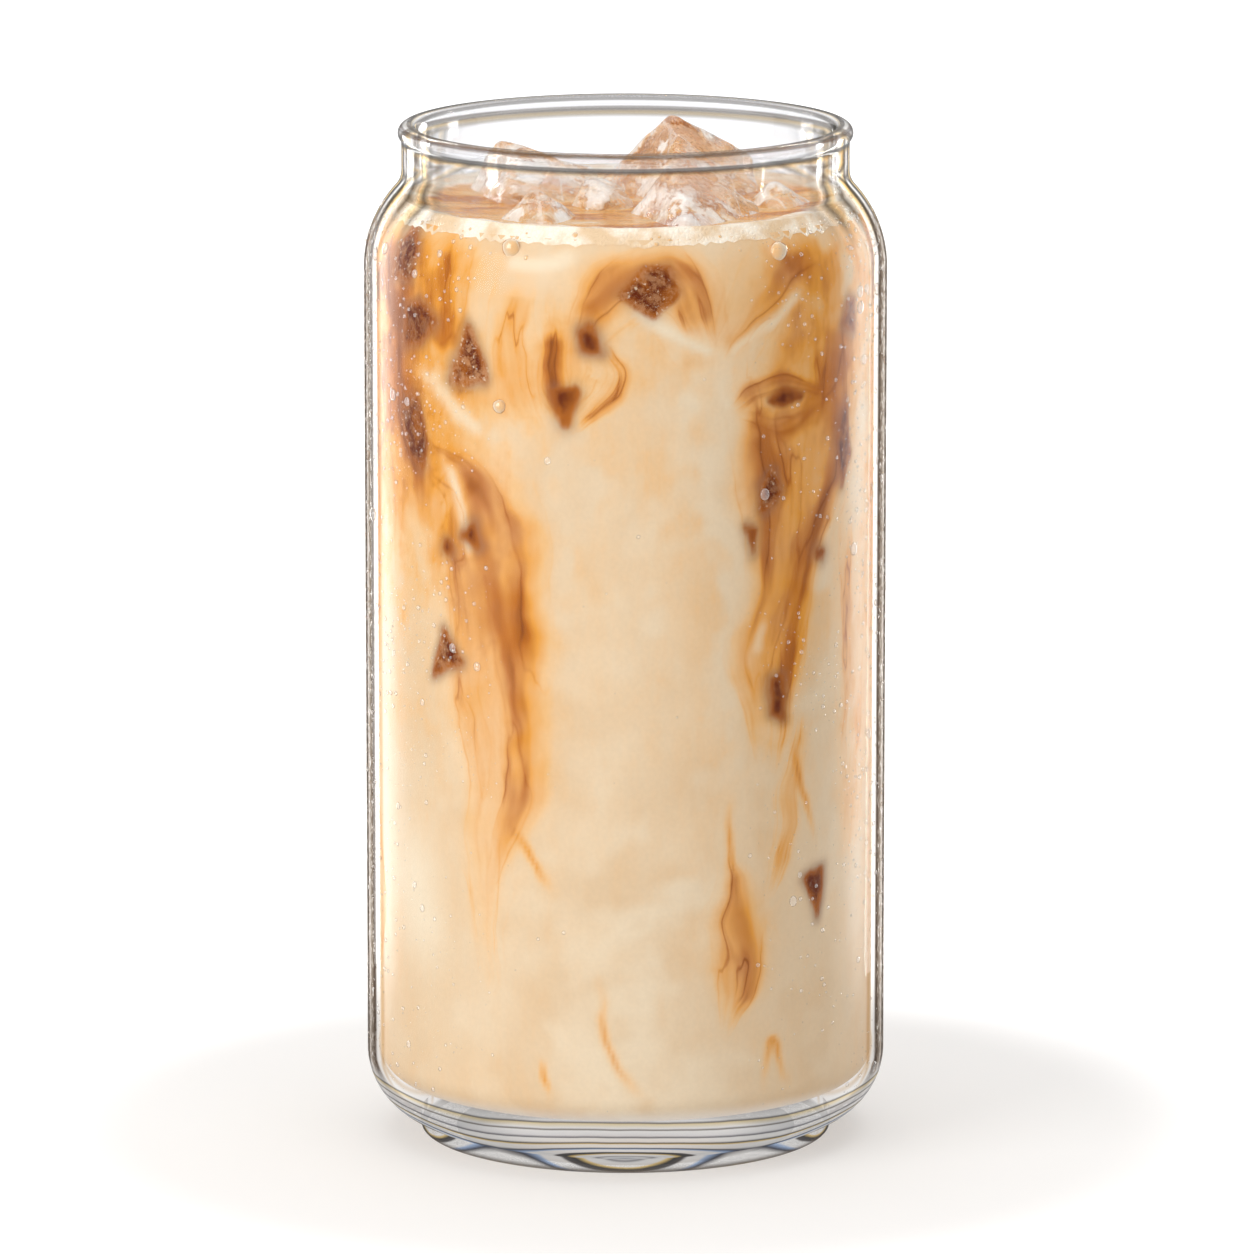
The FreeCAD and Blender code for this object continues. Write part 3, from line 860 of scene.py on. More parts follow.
# Pale folds of milk, and at the lower left a wide pale patch that is a painted highlight: (half width,
# strength, path).
PALE_FOLDS_AND_PAINTED_LIGHT = (
    (1.4, 0.85, ((-1, 136), (7, 131), (15, 127))),
    (1.2, 0.70, ((15, 127), (21, 131), (30, 137))),
    (1.6, 0.55, ((15, 127), (15, 117))),
    (1.4, 0.70, ((-20, 143), (-12, 142), (-6, 144))),
    (1.4, 0.60, ((-37, 124), (-30, 120), (-22, 115))),
    (1.3, 0.80, ((-31, 111), (-28, 103), (-26, 95))),
    (1.2, 0.50, ((24, 88), (21, 80))),
    # Painted highlight: the lower left drawn paler where the key lamp falls.
    (7.0, 0.80, ((-38, 60), (-36, 42), (-32, 24))),
    (6.0, 0.40, ((-20, 26), (-8, 18), (6, 20))),
    (8.0, 0.30, ((0, 108), (3, 80), (0, 50))),
)

# Sunk cubes that show against the wall as painted shade: (way round, height, width, tall, corners, tilt,
# frost, milk).
WINDOWS = (
    (-41, 141, 6, 6, 5, 0.4, 0.6, 0.6),
    (-37, 131, 7, 8, 5, 0.2, 0.4, 0.6),
    (-26, 127, 6, 11, 3, 1.6, 0.9, 0.7),
    (-38, 112, 7, 13, 5, 0.1, 0.4, 0.4),
    (-5, 131, 3, 4, 5, 0.3, 0.1, 0.8),
    (-9, 121, 3, 6, 3, 4.7, 0.0, 0.5),
    (3, 139, 9, 8, 5, 0.9, 0.7, 0.4),
    (42, 132, 4, 6, 4, 0.5, 0.3, 0.7),
    (26, 121, 7, 2, 4, 0.0, 0.0, 0.2),
    (40, 112, 4, 14, 4, 1.4, 0.1, 0.4),
    (-26, 100, 3, 3, 3, 1.2, 0.0, 0.7),
    (-31, 97, 2, 2, 4, 0.3, 0.0, 0.6),
    (-31, 80, 8, 8, 3, 1.9, 0.7, 0.7),
    (23, 106, 3, 5, 5, 0.2, 0.5, 0.7),
    (20, 100, 2, 4, 3, 0.7, 0.0, 0.6),
    (35, 95, 2, 2, 4, 0.5, 0.3, 0.5),
    (25, 75, 3, 8, 5, 1.2, 0.1, 0.7),
    (33, 44, 5, 10, 3, 5.0, 0.1, 0.7),
    (-54, 134, 6, 7, 5, 0.6, 0.4, 0.7),
    (-57, 109, 5, 8, 3, 1.7, 0.6, 0.6),
    (57, 136, 5, 8, 4, 0.8, 0.5, 0.6),
    (58, 84, 3, 7, 3, 4.6, 0.1, 0.7),
)

# Large bubbles behind the wall: (way round, height, radius).
WALL_BUBBLES = ((-18, 144, 1.5), (25, 143, 1.6), (-20, 120, 1.1))

# What starts further round than this, in millimetres, stands at the sides and isn't repeated at the back.
FRONT_REACH = 47


def smooth_path(points):
    """Points along a Catmull-Rom curve through the given ones."""
    points = np.array(points, float)
    padded = np.vstack([2 * points[0] - points[1], points, 2 * points[-1] - points[-2]])
    t = np.linspace(0, 1, 12, endpoint=False)[:, None]
    out = []
    for a, b, c, d in zip(padded, padded[1:], padded[2:], padded[3:]):
        cubic = (2 * a - 5 * b + 4 * c - d) * t**2 + (3 * b - a - 3 * c + d) * t**3
        out.append(0.5 * (2 * b + (c - a) * t + cubic))
    return np.vstack([*out, points[-1:]])


def waves(places, scale, octaves, seed):
    """Fractal noise about 0 at each place, the same on every run."""
    shift = Vector((seed * 7.31, seed * 3.17, seed * 5.71))
    return np.array([noise.fractal(Vector(p) * scale + shift, 0.9, 2.0, octaves) for p in places])


def wrapped(difference, length):
    """The way round the wall between two places, by the shorter side."""
    return (difference + length / 2) % length - length / 2


class Swirling:
    """The wall's skin unrolled, in millimetres, with what shows at each of its vertices.

    Bands that come near each other lie in different groups, so that each keeps its own flow.
    """

    groups = 4
    radius = 38.0
    length = 2 * math.pi * radius
    side_from = 30
    far_off = 99.0
    painted = ("swirl", "pale", "halo", "frost", "hair", "ice")

    def __init__(self, places):
        self.places = places / MM
        count = len(places)
        self.sway = waves(self.places, 0.11, 3, 1)
        self.lift = waves(self.places, 0.11, 3, 2)
        broad = waves(self.places, 0.035, 2, 8)
        self.round = turn_of(self.places) * self.radius + 0.9 * self.sway + 2.2 * broad
        self.height = self.places[:, 2] + 0.9 * self.lift
        self.on_side = np.hypot(self.places[:, 0], self.places[:, 1]) > self.side_from
        for name in self.painted:
            setattr(self, name, np.zeros(count))
        self.ice += 3.0
        self.flows = np.zeros((self.groups, count, 3))
        self.amounts = np.zeros((self.groups, count))
        self.drawn = [[] for _ in range(self.groups)]
        self.laid = 0

    def marble(self):
        """Faint marbling all over, drawn out downwards, plainer in front and stronger near the top."""
        bend = np.column_stack([6 * self.sway, 6 * self.lift, 10 * self.sway])
        folds = waves(self.places * (1, 1, 0.28) + bend, 0.085, 4, 4)
        broad = waves(self.places * (1, 1, 0.40) + bend, 0.045, 3, 5)
        veins = np.exp(-((folds / 0.05) ** 2))
        away = np.clip(np.abs(self.round) / 60, 0, 1)
        up = np.clip((self.places[:, 2] - 15) / 115, 0.1, 1)
        self.swirl += (0.04 + 0.52 * up * up) * np.clip(broad + 0.42, 0, 1) * (0.55 + 1.0 * away)
        self.swirl += (0.06 + 0.20 * away) * up * veins * np.clip(broad + 0.45, 0, 1)
        self.pale = np.clip(0.15 + 0.6 * waves(self.places * (1, 1, 0.25) + bend, 0.04, 2, 6), 0, 0.6)

    def turned(self, points):
        """Points mirrored to the drink's back and moved a little."""
        return np.column_stack([self.length / 2 - points[:, 0], points[:, 1] * 0.96 + 2.0])

    def laid_path(self, path, back):
        path = smooth_path(path)
        return self.turned(path) if back else path


    def beside(self, path, reach):
        """The vertices near a path: which, how far to its side, how far along, and the path's length."""
        near = (self.height > path[:, 1].min() - reach) & (self.height < path[:, 1].max() + reach)
        middle = (path[:, 0].min() + path[:, 0].max()) / 2
        near &= np.abs(wrapped(self.round - middle, self.length)) < np.ptp(path[:, 0]) / 2 + reach
        near = np.flatnonzero(near & self.on_side)
        step = np.diff(path, axis=0)
        size = np.hypot(*step.T)
        across = wrapped(self.round[near, None] - path[None, :-1, 0], self.length)
        above = self.height[near, None] - path[None, :-1, 1]
        share = np.clip((across * step[:, 0] + above * step[:, 1]) / size**2, 0, 1)
        x = across - share * step[:, 0]
        y = above - share * step[:, 1]
        distance = np.hypot(x, y)
        index = distance.argmin(1)
        rows = np.arange(len(near))
        x, y, distance, share = (values[rows, index] for values in (x, y, distance, share))
        side = np.where(x * step[index, 1] - y * step[index, 0] > 0, -1, 1) * distance
        way = np.concatenate([[0], np.cumsum(size)])
        return near, side, way[index] + share * size[index], way[-1]

    def band(self, strength, crisp, widths, path, back):
        """One band of caramel: crisp on one side, fading on the other, with its own flow."""
        path = self.laid_path(path, back)
        near, side, along, total = self.beside(path, 2.6 * max(widths) + 3)
        share = along / total
        width = np.interp(share, np.linspace(0, 1, len(widths)), widths)
        if back:
            crisp = -crisp
        soft = np.where(side * crisp > 0, 0.75, 1.45)
        across = side / width
        ends = np.clip(0.15 + share / 0.16, 0, 1) * np.clip(0.10 + (1 - share) / 0.22, 0, 1)
        amount = min(1.25 * strength, 0.95) * ends * np.exp(-((across / soft) ** 2))
        group = self.free_group(path)
        better = amount > self.amounts[group][near]
        rows = near[better]
        self.amounts[group][rows] = amount[better]
        self.laid += 1
        flow = np.column_stack([across * crisp, along, np.full(len(near), 7.7 * self.laid)])
        self.flows[group][rows] = flow[better]

    def free_group(self, path):
        """The group of bands whose members stay furthest from this path."""
        best, widest = 0, -1.0
        for group, members in enumerate(self.drawn):
            room = self.far_off
            for other in members:
                across = wrapped(path[:, None, 0] - other[None, :, 0], self.length)
                room = min(room, np.hypot(across, path[:, None, 1] - other[None, :, 1]).min())
            if room > widest:
                best, widest = group, room
        self.drawn[best].append(path)
        return best

    def thread(self, width, path, back):
        """A single thin hair that tapers to both ends."""
        near, side, along, total = self.beside(self.laid_path(path, back), 4)
        ends = np.clip(np.minimum(along, total - along) / (0.4 * total), 0.1, 1)
        value = 0.6 * ends * np.exp(-((side / (width + 0.35)) ** 2))
        self.hair[near] = np.maximum(self.hair[near], value)

    def fold(self, width, strength, path, back):
        """A pale fold of milk that lies over the swirls; the wide one at the lower left is a painted
        highlight.
        """
        near, side, along, total = self.beside(self.laid_path(path, back), 2.5 * width + 2)
        ends = np.clip(np.minimum(along, total - along) / (2 * width), 0.3, 1)
        value = strength * np.exp(-((side / width) ** 2)) * ends
        self.swirl[near] *= 1 - 0.75 * value
        self.amounts[:, near] *= 1 - 0.8 * value
        self.pale[near] = np.maximum(self.pale[near], value)

    def window(self, way, height, wide, tall, sides, tilt, frost, halo, back):
        """A sunk cube's corner or edge against the wall, where the drink is painted in shade, and the thin
        milk round it.
        """
        self.laid += 1
        corners = []
        for k in range(sides):
            turn = tilt + 2 * math.pi * k / sides
            uneven = 0.82 + 0.75 * noise.noise(Vector((self.laid * 1.71, k * 2.37, 0.5)))
            reach = 0.56 * uneven
            corners.append((way + wide * reach * math.cos(turn), height + tall * reach * math.sin(turn)))
        corners = np.array(corners)
        if back:
            corners = self.turned(corners)[::-1]
        middle = corners.mean(0)
        near = np.abs(self.height - middle[1]) < np.ptp(corners[:, 1]) / 2 + 5
        near &= np.abs(wrapped(self.round - middle[0], self.length)) < np.ptp(corners[:, 0]) / 2 + 5
        near = np.flatnonzero(near & self.on_side)
        x = wrapped(self.round[near] - middle[0], self.length)
        y = self.height[near] - middle[1]
        distance = np.full(len(near), self.far_off)
        inside = np.zeros(len(near), bool)
        for (ax, ay), (bx, by) in zip(corners - middle, np.roll(corners, -1, 0) - middle):
            ex, ey = bx - ax, by - ay
            share = np.clip(((x - ax) * ex + (y - ay) * ey) / (ex * ex + ey * ey), 0, 1)
            distance = np.minimum(distance, np.hypot(x - ax - share * ex, y - ay - share * ey))
            crossing = (ay > y) != (by > y)
            slope = ex / ey if ey else 0.0
            inside ^= crossing & (x < ax + (y - ay) * slope)
        signed = np.where(inside, -distance, distance) - 0.75
        closer = signed < self.ice[near]
        rows = near[closer]
        self.ice[rows] = signed[closer]
        self.frost[rows] = frost
        wash = 0.8 * halo * np.exp(-((np.clip(signed, 0, None) / 1.1) ** 2))
        self.halo[near] = np.maximum(self.halo[near], wash)

    def paint(self):
        self.marble()
        for back in (False, True):
            for band in BANDS:
                if not back or abs(band[3][0][0]) < FRONT_REACH:
                    self.band(*band, back)
            for hair in HAIRS:
                self.thread(*hair, back)
            for fold in PALE_FOLDS_AND_PAINTED_LIGHT:
                self.fold(*fold, back)
            for window in WINDOWS:
                if not back or abs(window[0]) < FRONT_REACH:
                    self.window(*window, back)
        rim = np.clip((self.places[:, 2] - DRINK_HIGH.z / MM + 4) / 3, 0, 1)
        self.swirl *= 1 - 0.55 * rim
        self.amounts *= 1 - 0.55 * rim

    def keep_in(self, mesh):
        """Everything painted, stored in the mesh."""
        for name in self.painted:
            store(mesh, name, getattr(self, name))
        for group in range(self.groups):
            store(mesh, f"flow_{group}", self.flows[group])
            store(mesh, f"amount_{group}", self.amounts[group])


# ---------------------------------------------------------------- operators


class MOCHA_OT_glass(bpy.types.Operator):
    """Build the glass: rolled rim, neck, shoulder, wall, heel, foot ring and punt"""

    bl_idname = "mocha.glass"
    bl_label = "Glass"

    def execute(self, context):
        sizes = context.scene.mocha_glass
        mesh = outward(lathe("mocha_glass", glass_outline(sizes), sizes.segments))
        hold_inside(mesh)
        places = vertex_array(mesh)
        radius, height = np.hypot(places[:, 0], places[:, 1]), places[:, 2]
        inside = radius < inner_radius(sizes, height, sizes.wall / 2)
        inside &= height > heel_top(sizes) * 0.6
        store(mesh, "inside", inside & (height < DRINK_HIGH.z + 6 * MM))
        store(mesh, "mouth", inside & (height > DRINK_HIGH.z))
        below = np.clip(heel_top(sizes) - height, 0, sizes.heel_radius)
        skin = GLASS_HIGH.x - sizes.heel_radius + np.sqrt(sizes.heel_radius**2 - below**2)
        skin = np.where(height < sizes.foot_height, sizes.foot_radius, skin)
        store(mesh, "outer", radius > skin - 1.2 * MM)
        new_piece("mocha_glass", mesh, glass_material(sizes), ["glass"])
        return {"FINISHED"}


class MOCHA_OT_drink(bpy.types.Operator):
    """Build the drink, with its swirls and the ice that shows against the wall"""

    bl_idname = "mocha.drink"
    bl_label = "Drink"

    def execute(self, context):
        sizes = context.scene.mocha_glass
        look = context.scene.mocha_drink
        offset = sizes.wall - look.reach
        floor = sizes.base_thickness - look.reach
        corner = (GLASS_HIGH.x - offset - sizes.floor_radius, floor + sizes.floor_radius)
        side = wall_line(sizes, corner[1], DRINK_HIGH.z, look.rows, offset)
        outline = joined(
            run((0, floor), (corner[0], floor), 6),
            arc(corner, sizes.floor_radius, -90, 0, 18),
            side,
            run(side[-1], (0, DRINK_HIGH.z), 2),
        )
        mesh = outward(lathe("mocha_drink", outline, look.columns))
        swirling = Swirling(vertex_array(mesh))
        swirling.paint()
        swirling.keep_in(mesh)
        new_piece("mocha_drink", mesh, drink_material(look), ["drink"])
        return {"FINISHED"}


class MOCHA_OT_froth(bpy.types.Operator):
    """Build the froth: thin between the cubes, thick and uneven at the wall"""

    bl_idname = "mocha.froth"
    bl_label = "Froth"

    rings = 46
    columns = 240
    thin = 0.45 * MM
    under = 1.2 * MM

    def execute(self, context):
        sizes = context.scene.mocha_glass
        look = context.scene.mocha_drink
        low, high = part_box("froth")
        offset = sizes.wall - look.reach
        edge = float(inner_radius(sizes, high.z - 0.2 * MM, offset))
        ways = [round_the_axis(k / self.columns) for k in range(self.columns)]
        verts = []
        collar = []
        for share in np.linspace(0, 1, self.rings + 1)[1:] ** 0.8:
            for way in ways:
                point = way * edge * share
                wobble = noise.fractal(point * 90 + Vector((3, 1, 2)), 0.8, 2.0, 3)
                fine = 0.5 * noise.fractal(point * 300, 0.8, 2.0, 3)
                width = (4.2 + 3.0 * wobble) * MM
                climb = math.exp(-((edge * (1 - share) / width) ** 2))
                rise = self.thin + (high.z - low.z - 0.5 * MM) * climb + 0.22 * MM * fine * (0.4 + climb)
                verts.append((point.x, point.y, min(low.z + rise, high.z)))
                collar.append(min(1, climb + 0.25 * fine))
        verts.append((0, 0, low.z + self.thin))
        collar.append(0)
        for way in ways:
            depth = (0.5 + 1.3 * abs(noise.fractal(way * 60, 0.8, 2.0, 3))) * MM
            wall = float(inner_radius(sizes, low.z - depth, offset - 0.05 * MM))
            verts.append((way.x * wall, way.y * wall, low.z - depth))
            collar.append(0.9)
        verts.append((0, 0, low.z - self.under))
        collar.append(0)
        rows = [list(range(k, k + self.columns)) for k in range(0, self.rings * self.columns, self.columns)]
        middle = self.rings * self.columns
        skirt = list(range(middle + 1, middle + 1 + self.columns))
        faces = faces_between([*reversed(rows), [middle]])
        faces += faces_between([rows[-1], skirt, [len(verts) - 1]])
        mesh = outward(smooth_mesh("mocha_froth", verts, faces, 60))
        store(mesh, "collar", collar)
        new_piece("mocha_froth", mesh, froth_material(look), ["froth"])
        return {"FINISHED"}


def melted_cube(name, half, edge, matrix, seed, cuts=15):
    """A cube with melted edges and hollowed, wavy faces, at its place."""
    work = bmesh.new()
    bmesh.ops.create_cube(work, size=2)
    bmesh.ops.subdivide_edges(work, edges=work.edges, cuts=cuts, use_grid_fill=True)
    half = Vector(half)
    inner = half - Vector((edge, edge, edge))
    for vert in work.verts:
        point = vert.co * half
        core = Vector(tuple(max(-i, min(i, c)) for i, c in zip(inner, point)))
        away = (point - core).normalized()
        if away.length:
            point = core + away * edge
        waver = noise.fractal(point * 120 + Vector((seed, 0, seed)), 0.9, 2.0, 3)
        pits = noise.fractal(point * 420 + Vector((0, seed, 0)), 0.9, 2.0, 2)
        shrink = (0.45 + 0.55 * waver + 0.16 * pits) * MM
        vert.co = matrix @ (point - away * max(shrink, 0))
    mesh = bpy.data.meshes.new(name)
    work.to_mesh(mesh)
    work.free()
    mesh.shade_smooth()
    return outward(mesh)


def cube_frame(node):
    """Place and half sizes of a packed cube, from its own flat faces."""
    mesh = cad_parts[node].data
    totals = {}
    for face in mesh.polygons:
        key = tuple(round(c, 1) for c in face.normal)
        entry = totals.setdefault(key, [0.0, Vector()])
        entry[0] += face.area
        entry[1] += face.normal * face.area
    normals = [entry[1].normalized() for entry in sorted(totals.values(), key=lambda e: -e[0])]
    first = normals[0]
    second = next(n for n in normals if abs(n.dot(first)) < 0.35)
    second = (second - first * second.dot(first)).normalized()
    axes = Matrix((first, second, first.cross(second)))
    local = [axes @ v.co for v in mesh.vertices]
    low = Vector(tuple(min(p[i] for p in local) for i in range(3)))
    high = Vector(tuple(max(p[i] for p in local) for i in range(3)))
    turned = axes.transposed()
    place = Matrix.Translation(turned @ ((low + high) / 2)) @ turned.to_4x4()
    return place, (high - low) / 2


class MOCHA_OT_ice(bpy.types.Operator):
    """Build the cubes that stand out of the drink"""

    bl_idname = "mocha.ice"
    bl_label = "Standing ice"

    def execute(self, context):
        look = context.scene.mocha_ice
        material = ice_material(look)
        for seed, node in enumerate(CUBES, start=1):
            place, half = cube_frame(node)
            mesh = melted_cube(f"mocha_{node}", half, look.edge, place, seed * 3.7)
            new_piece(f"mocha_{node}", mesh, material, [node])
        return {"FINISHED"}


class MOCHA_OT_sunk_ice(bpy.types.Operator):
    """Build sunk cubes behind every third place where ice shows against the wall"""

    bl_idname = "mocha.sunk_ice"
    bl_label = "Sunk ice"

    highest = 128 * MM

    def execute(self, context):
        look = context.scene.mocha_ice
        half = look.sunk_size / 2
        inner = GLASS_HIGH.x - context.scene.mocha_glass.wall - 0.3 * MM
        parts = bmesh.new()
        for index, (way, height, *_) in enumerate(WINDOWS[::3]):
            outwards = facing_out(way / Swirling.radius)
            centre = outwards * (inner - half * 1.5) + Vector((0, 0, min(height * MM, self.highest)))
            spin = Matrix.Rotation(math.radians(45 + 13 * index), 4, outwards)
            place = Matrix.Translation(centre) @ spin
            mesh = melted_cube("sunk", (half,) * 3, look.edge, place, index, 3)
            work = vertex_array(mesh)
            reach = np.hypot(work[:, 0], work[:, 1])
            over = reach > inner
            work[over, :2] *= (inner / reach[over])[:, None]
            mesh.vertices.foreach_set("co", work.ravel())
            parts.from_mesh(mesh)
            bpy.data.meshes.remove(mesh)
        mesh = bpy.data.meshes.new("mocha_sunk_ice")
        parts.to_mesh(mesh)
        parts.free()
        mesh.shade_smooth()
        new_piece("mocha_sunk_ice", mesh, ice_material(look, "sunk_ice"))
        return {"FINISHED"}


SCATTER_INPUTS = {
    "Geometry": "Geometry", "Density": "Float", "Smallest": "Float", "Largest": "Float",
    "Power": "Float", "Seed": "Int", "Material": "Material",
}


def scatter_tree(name, sides, rings, stretch):
    """Geometry Nodes that scatter flattened drops over a surface, bigger ones being rarer."""
    tree = bpy.data.node_groups.new(name, "GeometryNodeTree")
    for label, kind in SCATTER_INPUTS.items():
        tree.interface.new_socket(label, in_out="INPUT", socket_type=f"NodeSocket{kind}")
    tree.interface.new_socket("Geometry", in_out="OUTPUT", socket_type="NodeSocketGeometry")
    lay = Finish(tree=tree)
    source = add(tree, "NodeGroupInput").outputs
    seed = {"Seed": source["Seed"]}
    wet = lay.node("GeometryNodeInputNamedAttribute", {"Name": "wet"}, data_type="FLOAT")
    surface = {"Mesh": source["Geometry"], "Density": wet * source["Density"], **seed}
    points = add(tree, "GeometryNodeDistributePointsOnFaces", surface).outputs
    chance = lay.node("FunctionNodeRandomValue", seed, 1, data_type="FLOAT")
    rare = chance.maths("POWER", source["Power"])
    radius = lay.node("ShaderNodeMapRange", {0: rare, 3: source["Smallest"], 4: source["Largest"]})
    drop = lay.node("GeometryNodeMeshUVSphere", {"Radius": 1.0, "Segments": sides, "Rings": rings})
    shaped = lay.node("GeometryNodeTransform", {"Geometry": drop, "Scale": stretch})
    places = {"Points": points["Points"], "Instance": shaped, "Rotation": points["Rotation"], "Scale": radius}
    real = lay.node("GeometryNodeRealizeInstances", {0: lay.node("GeometryNodeInstanceOnPoints", places)})
    smooth = lay.node("GeometryNodeSetShadeSmooth", {0: real})
    done = {"Geometry": smooth, "Material": source["Material"]}
    add(tree, "NodeGroupOutput", {0: lay.node("GeometryNodeSetMaterial", done)})
    return tree


def scatter_piece(name, carrier, tree, slot, **values):
    """The drops or bubbles that a tree makes on a carrier, as a piece of their own."""
    holder = placed("carrier", carrier)
    modifier = holder.modifiers.new("scatter", "NODES")
    modifier.node_group = tree
    for item in tree.interface.items_tree:
        if item.in_out == "INPUT" and item.name in values:
            modifier[item.identifier] = values[item.name]
    bpy.context.view_layer.update()
    evaluated = holder.evaluated_get(bpy.context.evaluated_depsgraph_get())
    mesh = bpy.data.meshes.new_from_object(evaluated)
    holder.modifiers.clear()
    bpy.data.objects.remove(holder)
    hold_inside(mesh)
    return new_piece(name, mesh, values["Material"])


def hold_inside(mesh):
    """Vertices that stand out of the frame's own box drawn back to its sides."""
    co = vertex_array(mesh)
    low, high = np.array(CAD_BOX[0]), np.array(CAD_BOX[1])
    co[:, :2] = np.clip(co[:, :2], low[:2] + 0.001 * MM, high[:2] - 0.001 * MM)
    mesh.vertices.foreach_set("co", co.ravel())
    mesh.update()


def bubble(turn, height, radius, wall, depth, seed, sides=20, rings=10):
    """Verts and rings of a flat, slightly uneven bubble at the wall's radius, a turn from the front."""
    outwards = facing_out(turn)
    across = Vector((math.cos(turn), math.sin(turn), 0))
    centre = outwards * wall + Vector((0, 0, height))
    verts = [centre + outwards * depth]
    for ring in range(1, rings):
        tilt = math.pi * ring / rings
        for k in range(sides):
            way = round_the_axis(k / sides)
            waver = 1 + 0.09 * noise.fractal(Vector((way.x, way.y, seed)), 0.9, 2.0, 3)
            flat = radius * math.sin(tilt) * waver
            aside = across * (flat * way.x) + Vector((0, 0, flat * way.y))
            verts.append(centre + aside + outwards * depth * math.cos(tilt))
    verts.append(centre - outwards * depth)
    loops = [list(range(k, k + sides)) for k in range(1, 1 + (rings - 1) * sides, sides)]
    return verts, [[0], *loops, [len(verts) - 1]]


class MOCHA_OT_droplets(bpy.types.Operator):
    """Scatter condensation over the outside of the glass: fine droplets and larger drops"""

    bl_idname = "mocha.droplets"
    bl_label = "Condensation"

    def execute(self, context):
        sizes = context.scene.mocha_glass
        look = context.scene.mocha_drops
        heel = heel_top(sizes)
        outline = joined(
            arc((GLASS_HIGH.x - sizes.heel_radius, heel), sizes.heel_radius, -20, 0, 4),
            run((GLASS_HIGH.x, heel), (GLASS_HIGH.x, blend_of(sizes)[1]), 60),
            side_outline(sizes, 0, 6)[:6],
        )
        carrier = lathe("carrier", outline, 120)
        places = vertex_array(carrier)
        across = np.abs(np.sin(turn_of(places)))
        patches = waves(places / MM, 0.06, 3, 9)
        wet = np.clip((across - 0.44) / 0.25, 0.015, 1) * np.clip(0.65 + 1.8 * patches, 0.06, 1.5)
        wet *= np.clip((places[:, 2] / MM - 6) / 80, 0.35, 1)
        store(carrier, "wet", wet)
        water = water_material()
        fine = scatter_tree("condensation", 6, 4, (1.0, 1.0, 0.5))
        scatter_piece(
            "mocha_droplets", carrier, fine, "glass", Material=water, Seed=look.seed, Power=4.0,
            Density=look.density, Smallest=look.smallest, Largest=look.largest,
        )
        large = scatter_tree("large_drops", 20, 10, (0.85, 1.0, 0.38))
        scatter_piece(
            "mocha_large_drops", carrier, large, "glass", Material=water, Seed=look.seed + 2, Power=1.6,
            Density=look.large_density, Smallest=look.large_smallest, Largest=look.large_largest,
        )
        return {"FINISHED"}


class MOCHA_OT_bubbles(bpy.types.Operator):
    """Add the bubbles behind the wall: a few large ones, and the small ones along the froth"""

    bl_idname = "mocha.bubbles"
    bl_label = "Bubbles"

    depth_share = 0.62

    def execute(self, context):
        sizes = context.scene.mocha_glass
        drink = context.scene.mocha_drink
        look = context.scene.mocha_drops
        offset = sizes.wall - drink.reach
        low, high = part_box("froth")
        outline = wall_line(sizes, low.z - 3.2 * MM, high.z - 0.9 * MM, 10, offset)
        carrier = lathe("carrier", outline, 240)
        places = vertex_array(carrier)
        share = (places[:, 2] - outline[0][1]) / (outline[-1][1] - outline[0][1])
        patches = waves(places / MM, 0.10, 3, 12)
        side = 0.65 - 0.45 * np.sin(turn_of(places))
        store(carrier, "wet", np.clip(share, 0.06, 1) * np.clip(side + 1.6 * patches, 0.05, 1.4))
        film = bubble_material(drink)
        small = scatter_tree("froth_bubbles", 10, 6, (1.0, 1.0, 0.35))
        scatter_piece(
            "mocha_froth_bubbles", carrier, small, "froth", Material=film, Seed=look.seed + 4, Power=3.0,
            Density=look.froth_density, Smallest=look.smallest * 1.3, Largest=look.largest * 1.1,
        )
        verts = []
        faces = []
        for index, (way, height, radius) in enumerate(WALL_BUBBLES):
            radius *= MM
            wall = float(inner_radius(sizes, height * MM, offset))
            depth = radius * self.depth_share
            more, loops = bubble(way * MM / wall, height * MM, radius, wall, depth, index * 1.7)
            faces += faces_between([[len(verts) + k for k in loop] for loop in loops])
            verts += more
        large = outward(smooth_mesh("mocha_wall_bubbles", verts, faces, 80))
        new_piece("mocha_wall_bubbles", large, film)
        return {"FINISHED"}


class MOCHA_OT_stage(bpy.types.Operator):
    """Set up floor, studio light and camera"""

    bl_idname = "mocha.stage"
    bl_label = "Stage"

    def execute(self, context):
        make_floor()
        make_world()
        make_lamps()
        make_camera(context.scene.mocha_stage)
        context.scene.view_settings.view_transform = "Standard"
        return {"FINISHED"}


def make_floor():
    """Pale floor that keeps the shadow near the glass, and is its own white further off."""
    mesh = bpy.data.meshes.new("floor")
    mesh.from_pydata([(-3, -3, 0), (3, -3, 0), (3, 3, 0), (-3, 3, 0)], [], [(0, 1, 2, 3)])
    floor = placed("floor", mesh)
    lay = Finish("studio_floor")
    bends = lay.larger(lay.ray("Transmission"), lay.ray("Glossy"))
    seen = lay.larger(lay.ray("Camera"), bends)
    away = lay.vector("LENGTH", lay.place(), output="Value")
    far = lay.between(away, 0.075, 0.125)
    lit = lay.node("ShaderNodeBsdfDiffuse", {"Color": (0.66, 0.65, 0.64)})
    near = lay.node("ShaderNodeAddShader", {0: lit, 1: lay.glow(WHITE, seen * 0.36)})
    white = lay.glow(WHITE, seen)
    total = lay.blend(far, near, lay.node("ShaderNodeAddShader", {0: lit, 1: white}))
    mesh.materials.append(lay.done(lay.blend(bends, total, white)))


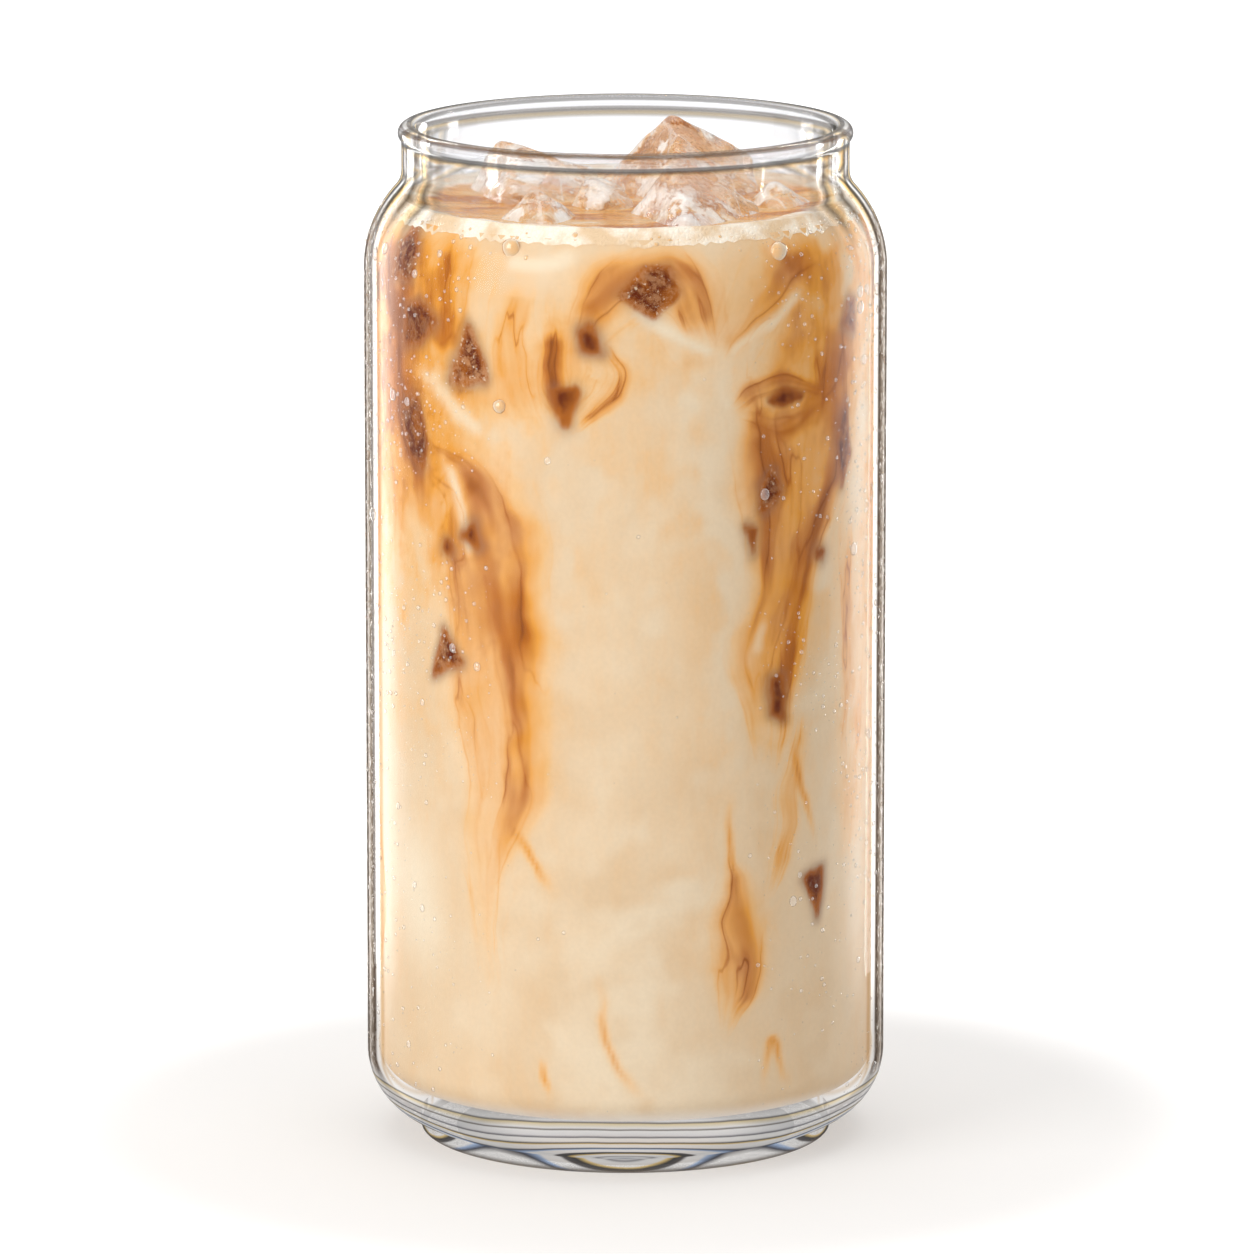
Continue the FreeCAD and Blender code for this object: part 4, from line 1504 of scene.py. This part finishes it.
def make_world():
    """Plain white studio, which glass and water see too, and half as strong as a light."""
    world = bpy.data.worlds.new("studio")
    bpy.context.scene.world = world
    world.use_nodes = True
    lay = Finish(tree=world.node_tree)
    seen = lay.larger(lay.ray("Camera"), lay.larger(lay.ray("Glossy"), lay.ray("Transmission")))
    back = lay.node("ShaderNodeBackground", {"Color": WHITE, "Strength": seen * 0.50 + 0.50})
    add(lay.tree, "ShaderNodeOutputWorld", {"Surface": back})


def make_lamps():
    """Large soft lamp at the left, a weaker one at the right, tall strips that the wall mirrors."""
    # Name, place, width, height, power, whether it lights the part, whether it shows in mirrors.
    lamps = (
        ("key", (-0.85, -0.68, 0.40), 0.70, 0.70, 7.4, True, True),
        ("fill", (0.70, -0.85, 0.35), 0.60, 0.60, 2.0, True, False),
        ("top", (0.05, 0.15, 1.10), 0.60, 0.60, 3.2, True, True),
        ("strip_right", (0.0890, 0.0465, 0.086), 0.0140, 0.160, 0.13, False, True),
        ("strip_left", (-0.081, 0.059, 0.086), 0.020, 0.160, 0.14, False, True),
    )
    for name, place, wide, tall, power, lights, mirrored in lamps:
        data = bpy.data.lights.new(name, "AREA")
        data.shape = "RECTANGLE"
        data.size = wide
        data.size_y = tall
        data.energy = power
        lamp = placed(name, data)
        lamp.location = place
        aim = Vector((0, 0, 0.075)) - Vector(place)
        lamp.rotation_euler = aim.to_track_quat("-Z", "Y").to_euler()
        lamp.visible_camera = False
        lamp.visible_diffuse = lights
        lamp.visible_glossy = mirrored


def make_camera(view):
    """Long lens a little above the rim, looking down at the middle of the glass."""
    data = bpy.data.cameras.new("camera")
    camera = placed("camera", data)
    middle = Vector((view.aim_across, 0, view.aim_height))
    back = Vector((0, -math.cos(view.elevation), math.sin(view.elevation)))
    camera.location = middle + back * view.distance
    camera.rotation_euler = (-back).to_track_quat("-Z", "Y").to_euler()
    data.sensor_width = 36
    data.lens = data.sensor_width * view.distance / view.span
    data.clip_end = 20
    bpy.context.scene.camera = camera


class MOCHA_PT_panel(bpy.types.Panel):
    """Pieces of the iced mocha"""

    bl_idname = "MOCHA_PT_panel"
    bl_label = "Iced Mocha"
    bl_space_type = "VIEW_3D"
    bl_region_type = "UI"
    bl_category = "Iced Mocha"

    def draw(self, context):
        for operator in OPERATORS:
            self.layout.operator(operator.bl_idname)
        for group in SETTINGS:
            box = self.layout.box()
            for name in SETTINGS[group].__annotations__:
                box.prop(getattr(context.scene, group), name)


SETTINGS = {
    "mocha_glass": MochaGlassSettings,
    "mocha_drink": MochaDrinkSettings,
    "mocha_ice": MochaIceSettings,
    "mocha_drops": MochaDropSettings,
    "mocha_stage": MochaStageSettings,
}
OPERATORS = (
    MOCHA_OT_glass,
    MOCHA_OT_drink,
    MOCHA_OT_froth,
    MOCHA_OT_ice,
    MOCHA_OT_sunk_ice,
    MOCHA_OT_droplets,
    MOCHA_OT_bubbles,
    MOCHA_OT_stage,
)


def register():
    for group in (*SETTINGS.values(), *OPERATORS, MOCHA_PT_panel):
        bpy.utils.register_class(group)
    for name, group in SETTINGS.items():
        setattr(bpy.types.Scene, name, PointerProperty(type=group))


def unregister():
    for name in SETTINGS:
        delattr(bpy.types.Scene, name)
    for group in reversed((*SETTINGS.values(), *OPERATORS, MOCHA_PT_panel)):
        bpy.utils.unregister_class(group)


def main():
    register()
    for operator in OPERATORS:
        family, name = operator.bl_idname.split(".")
        getattr(getattr(bpy.ops, family), name)()


if __name__ == "__main__":
    main()
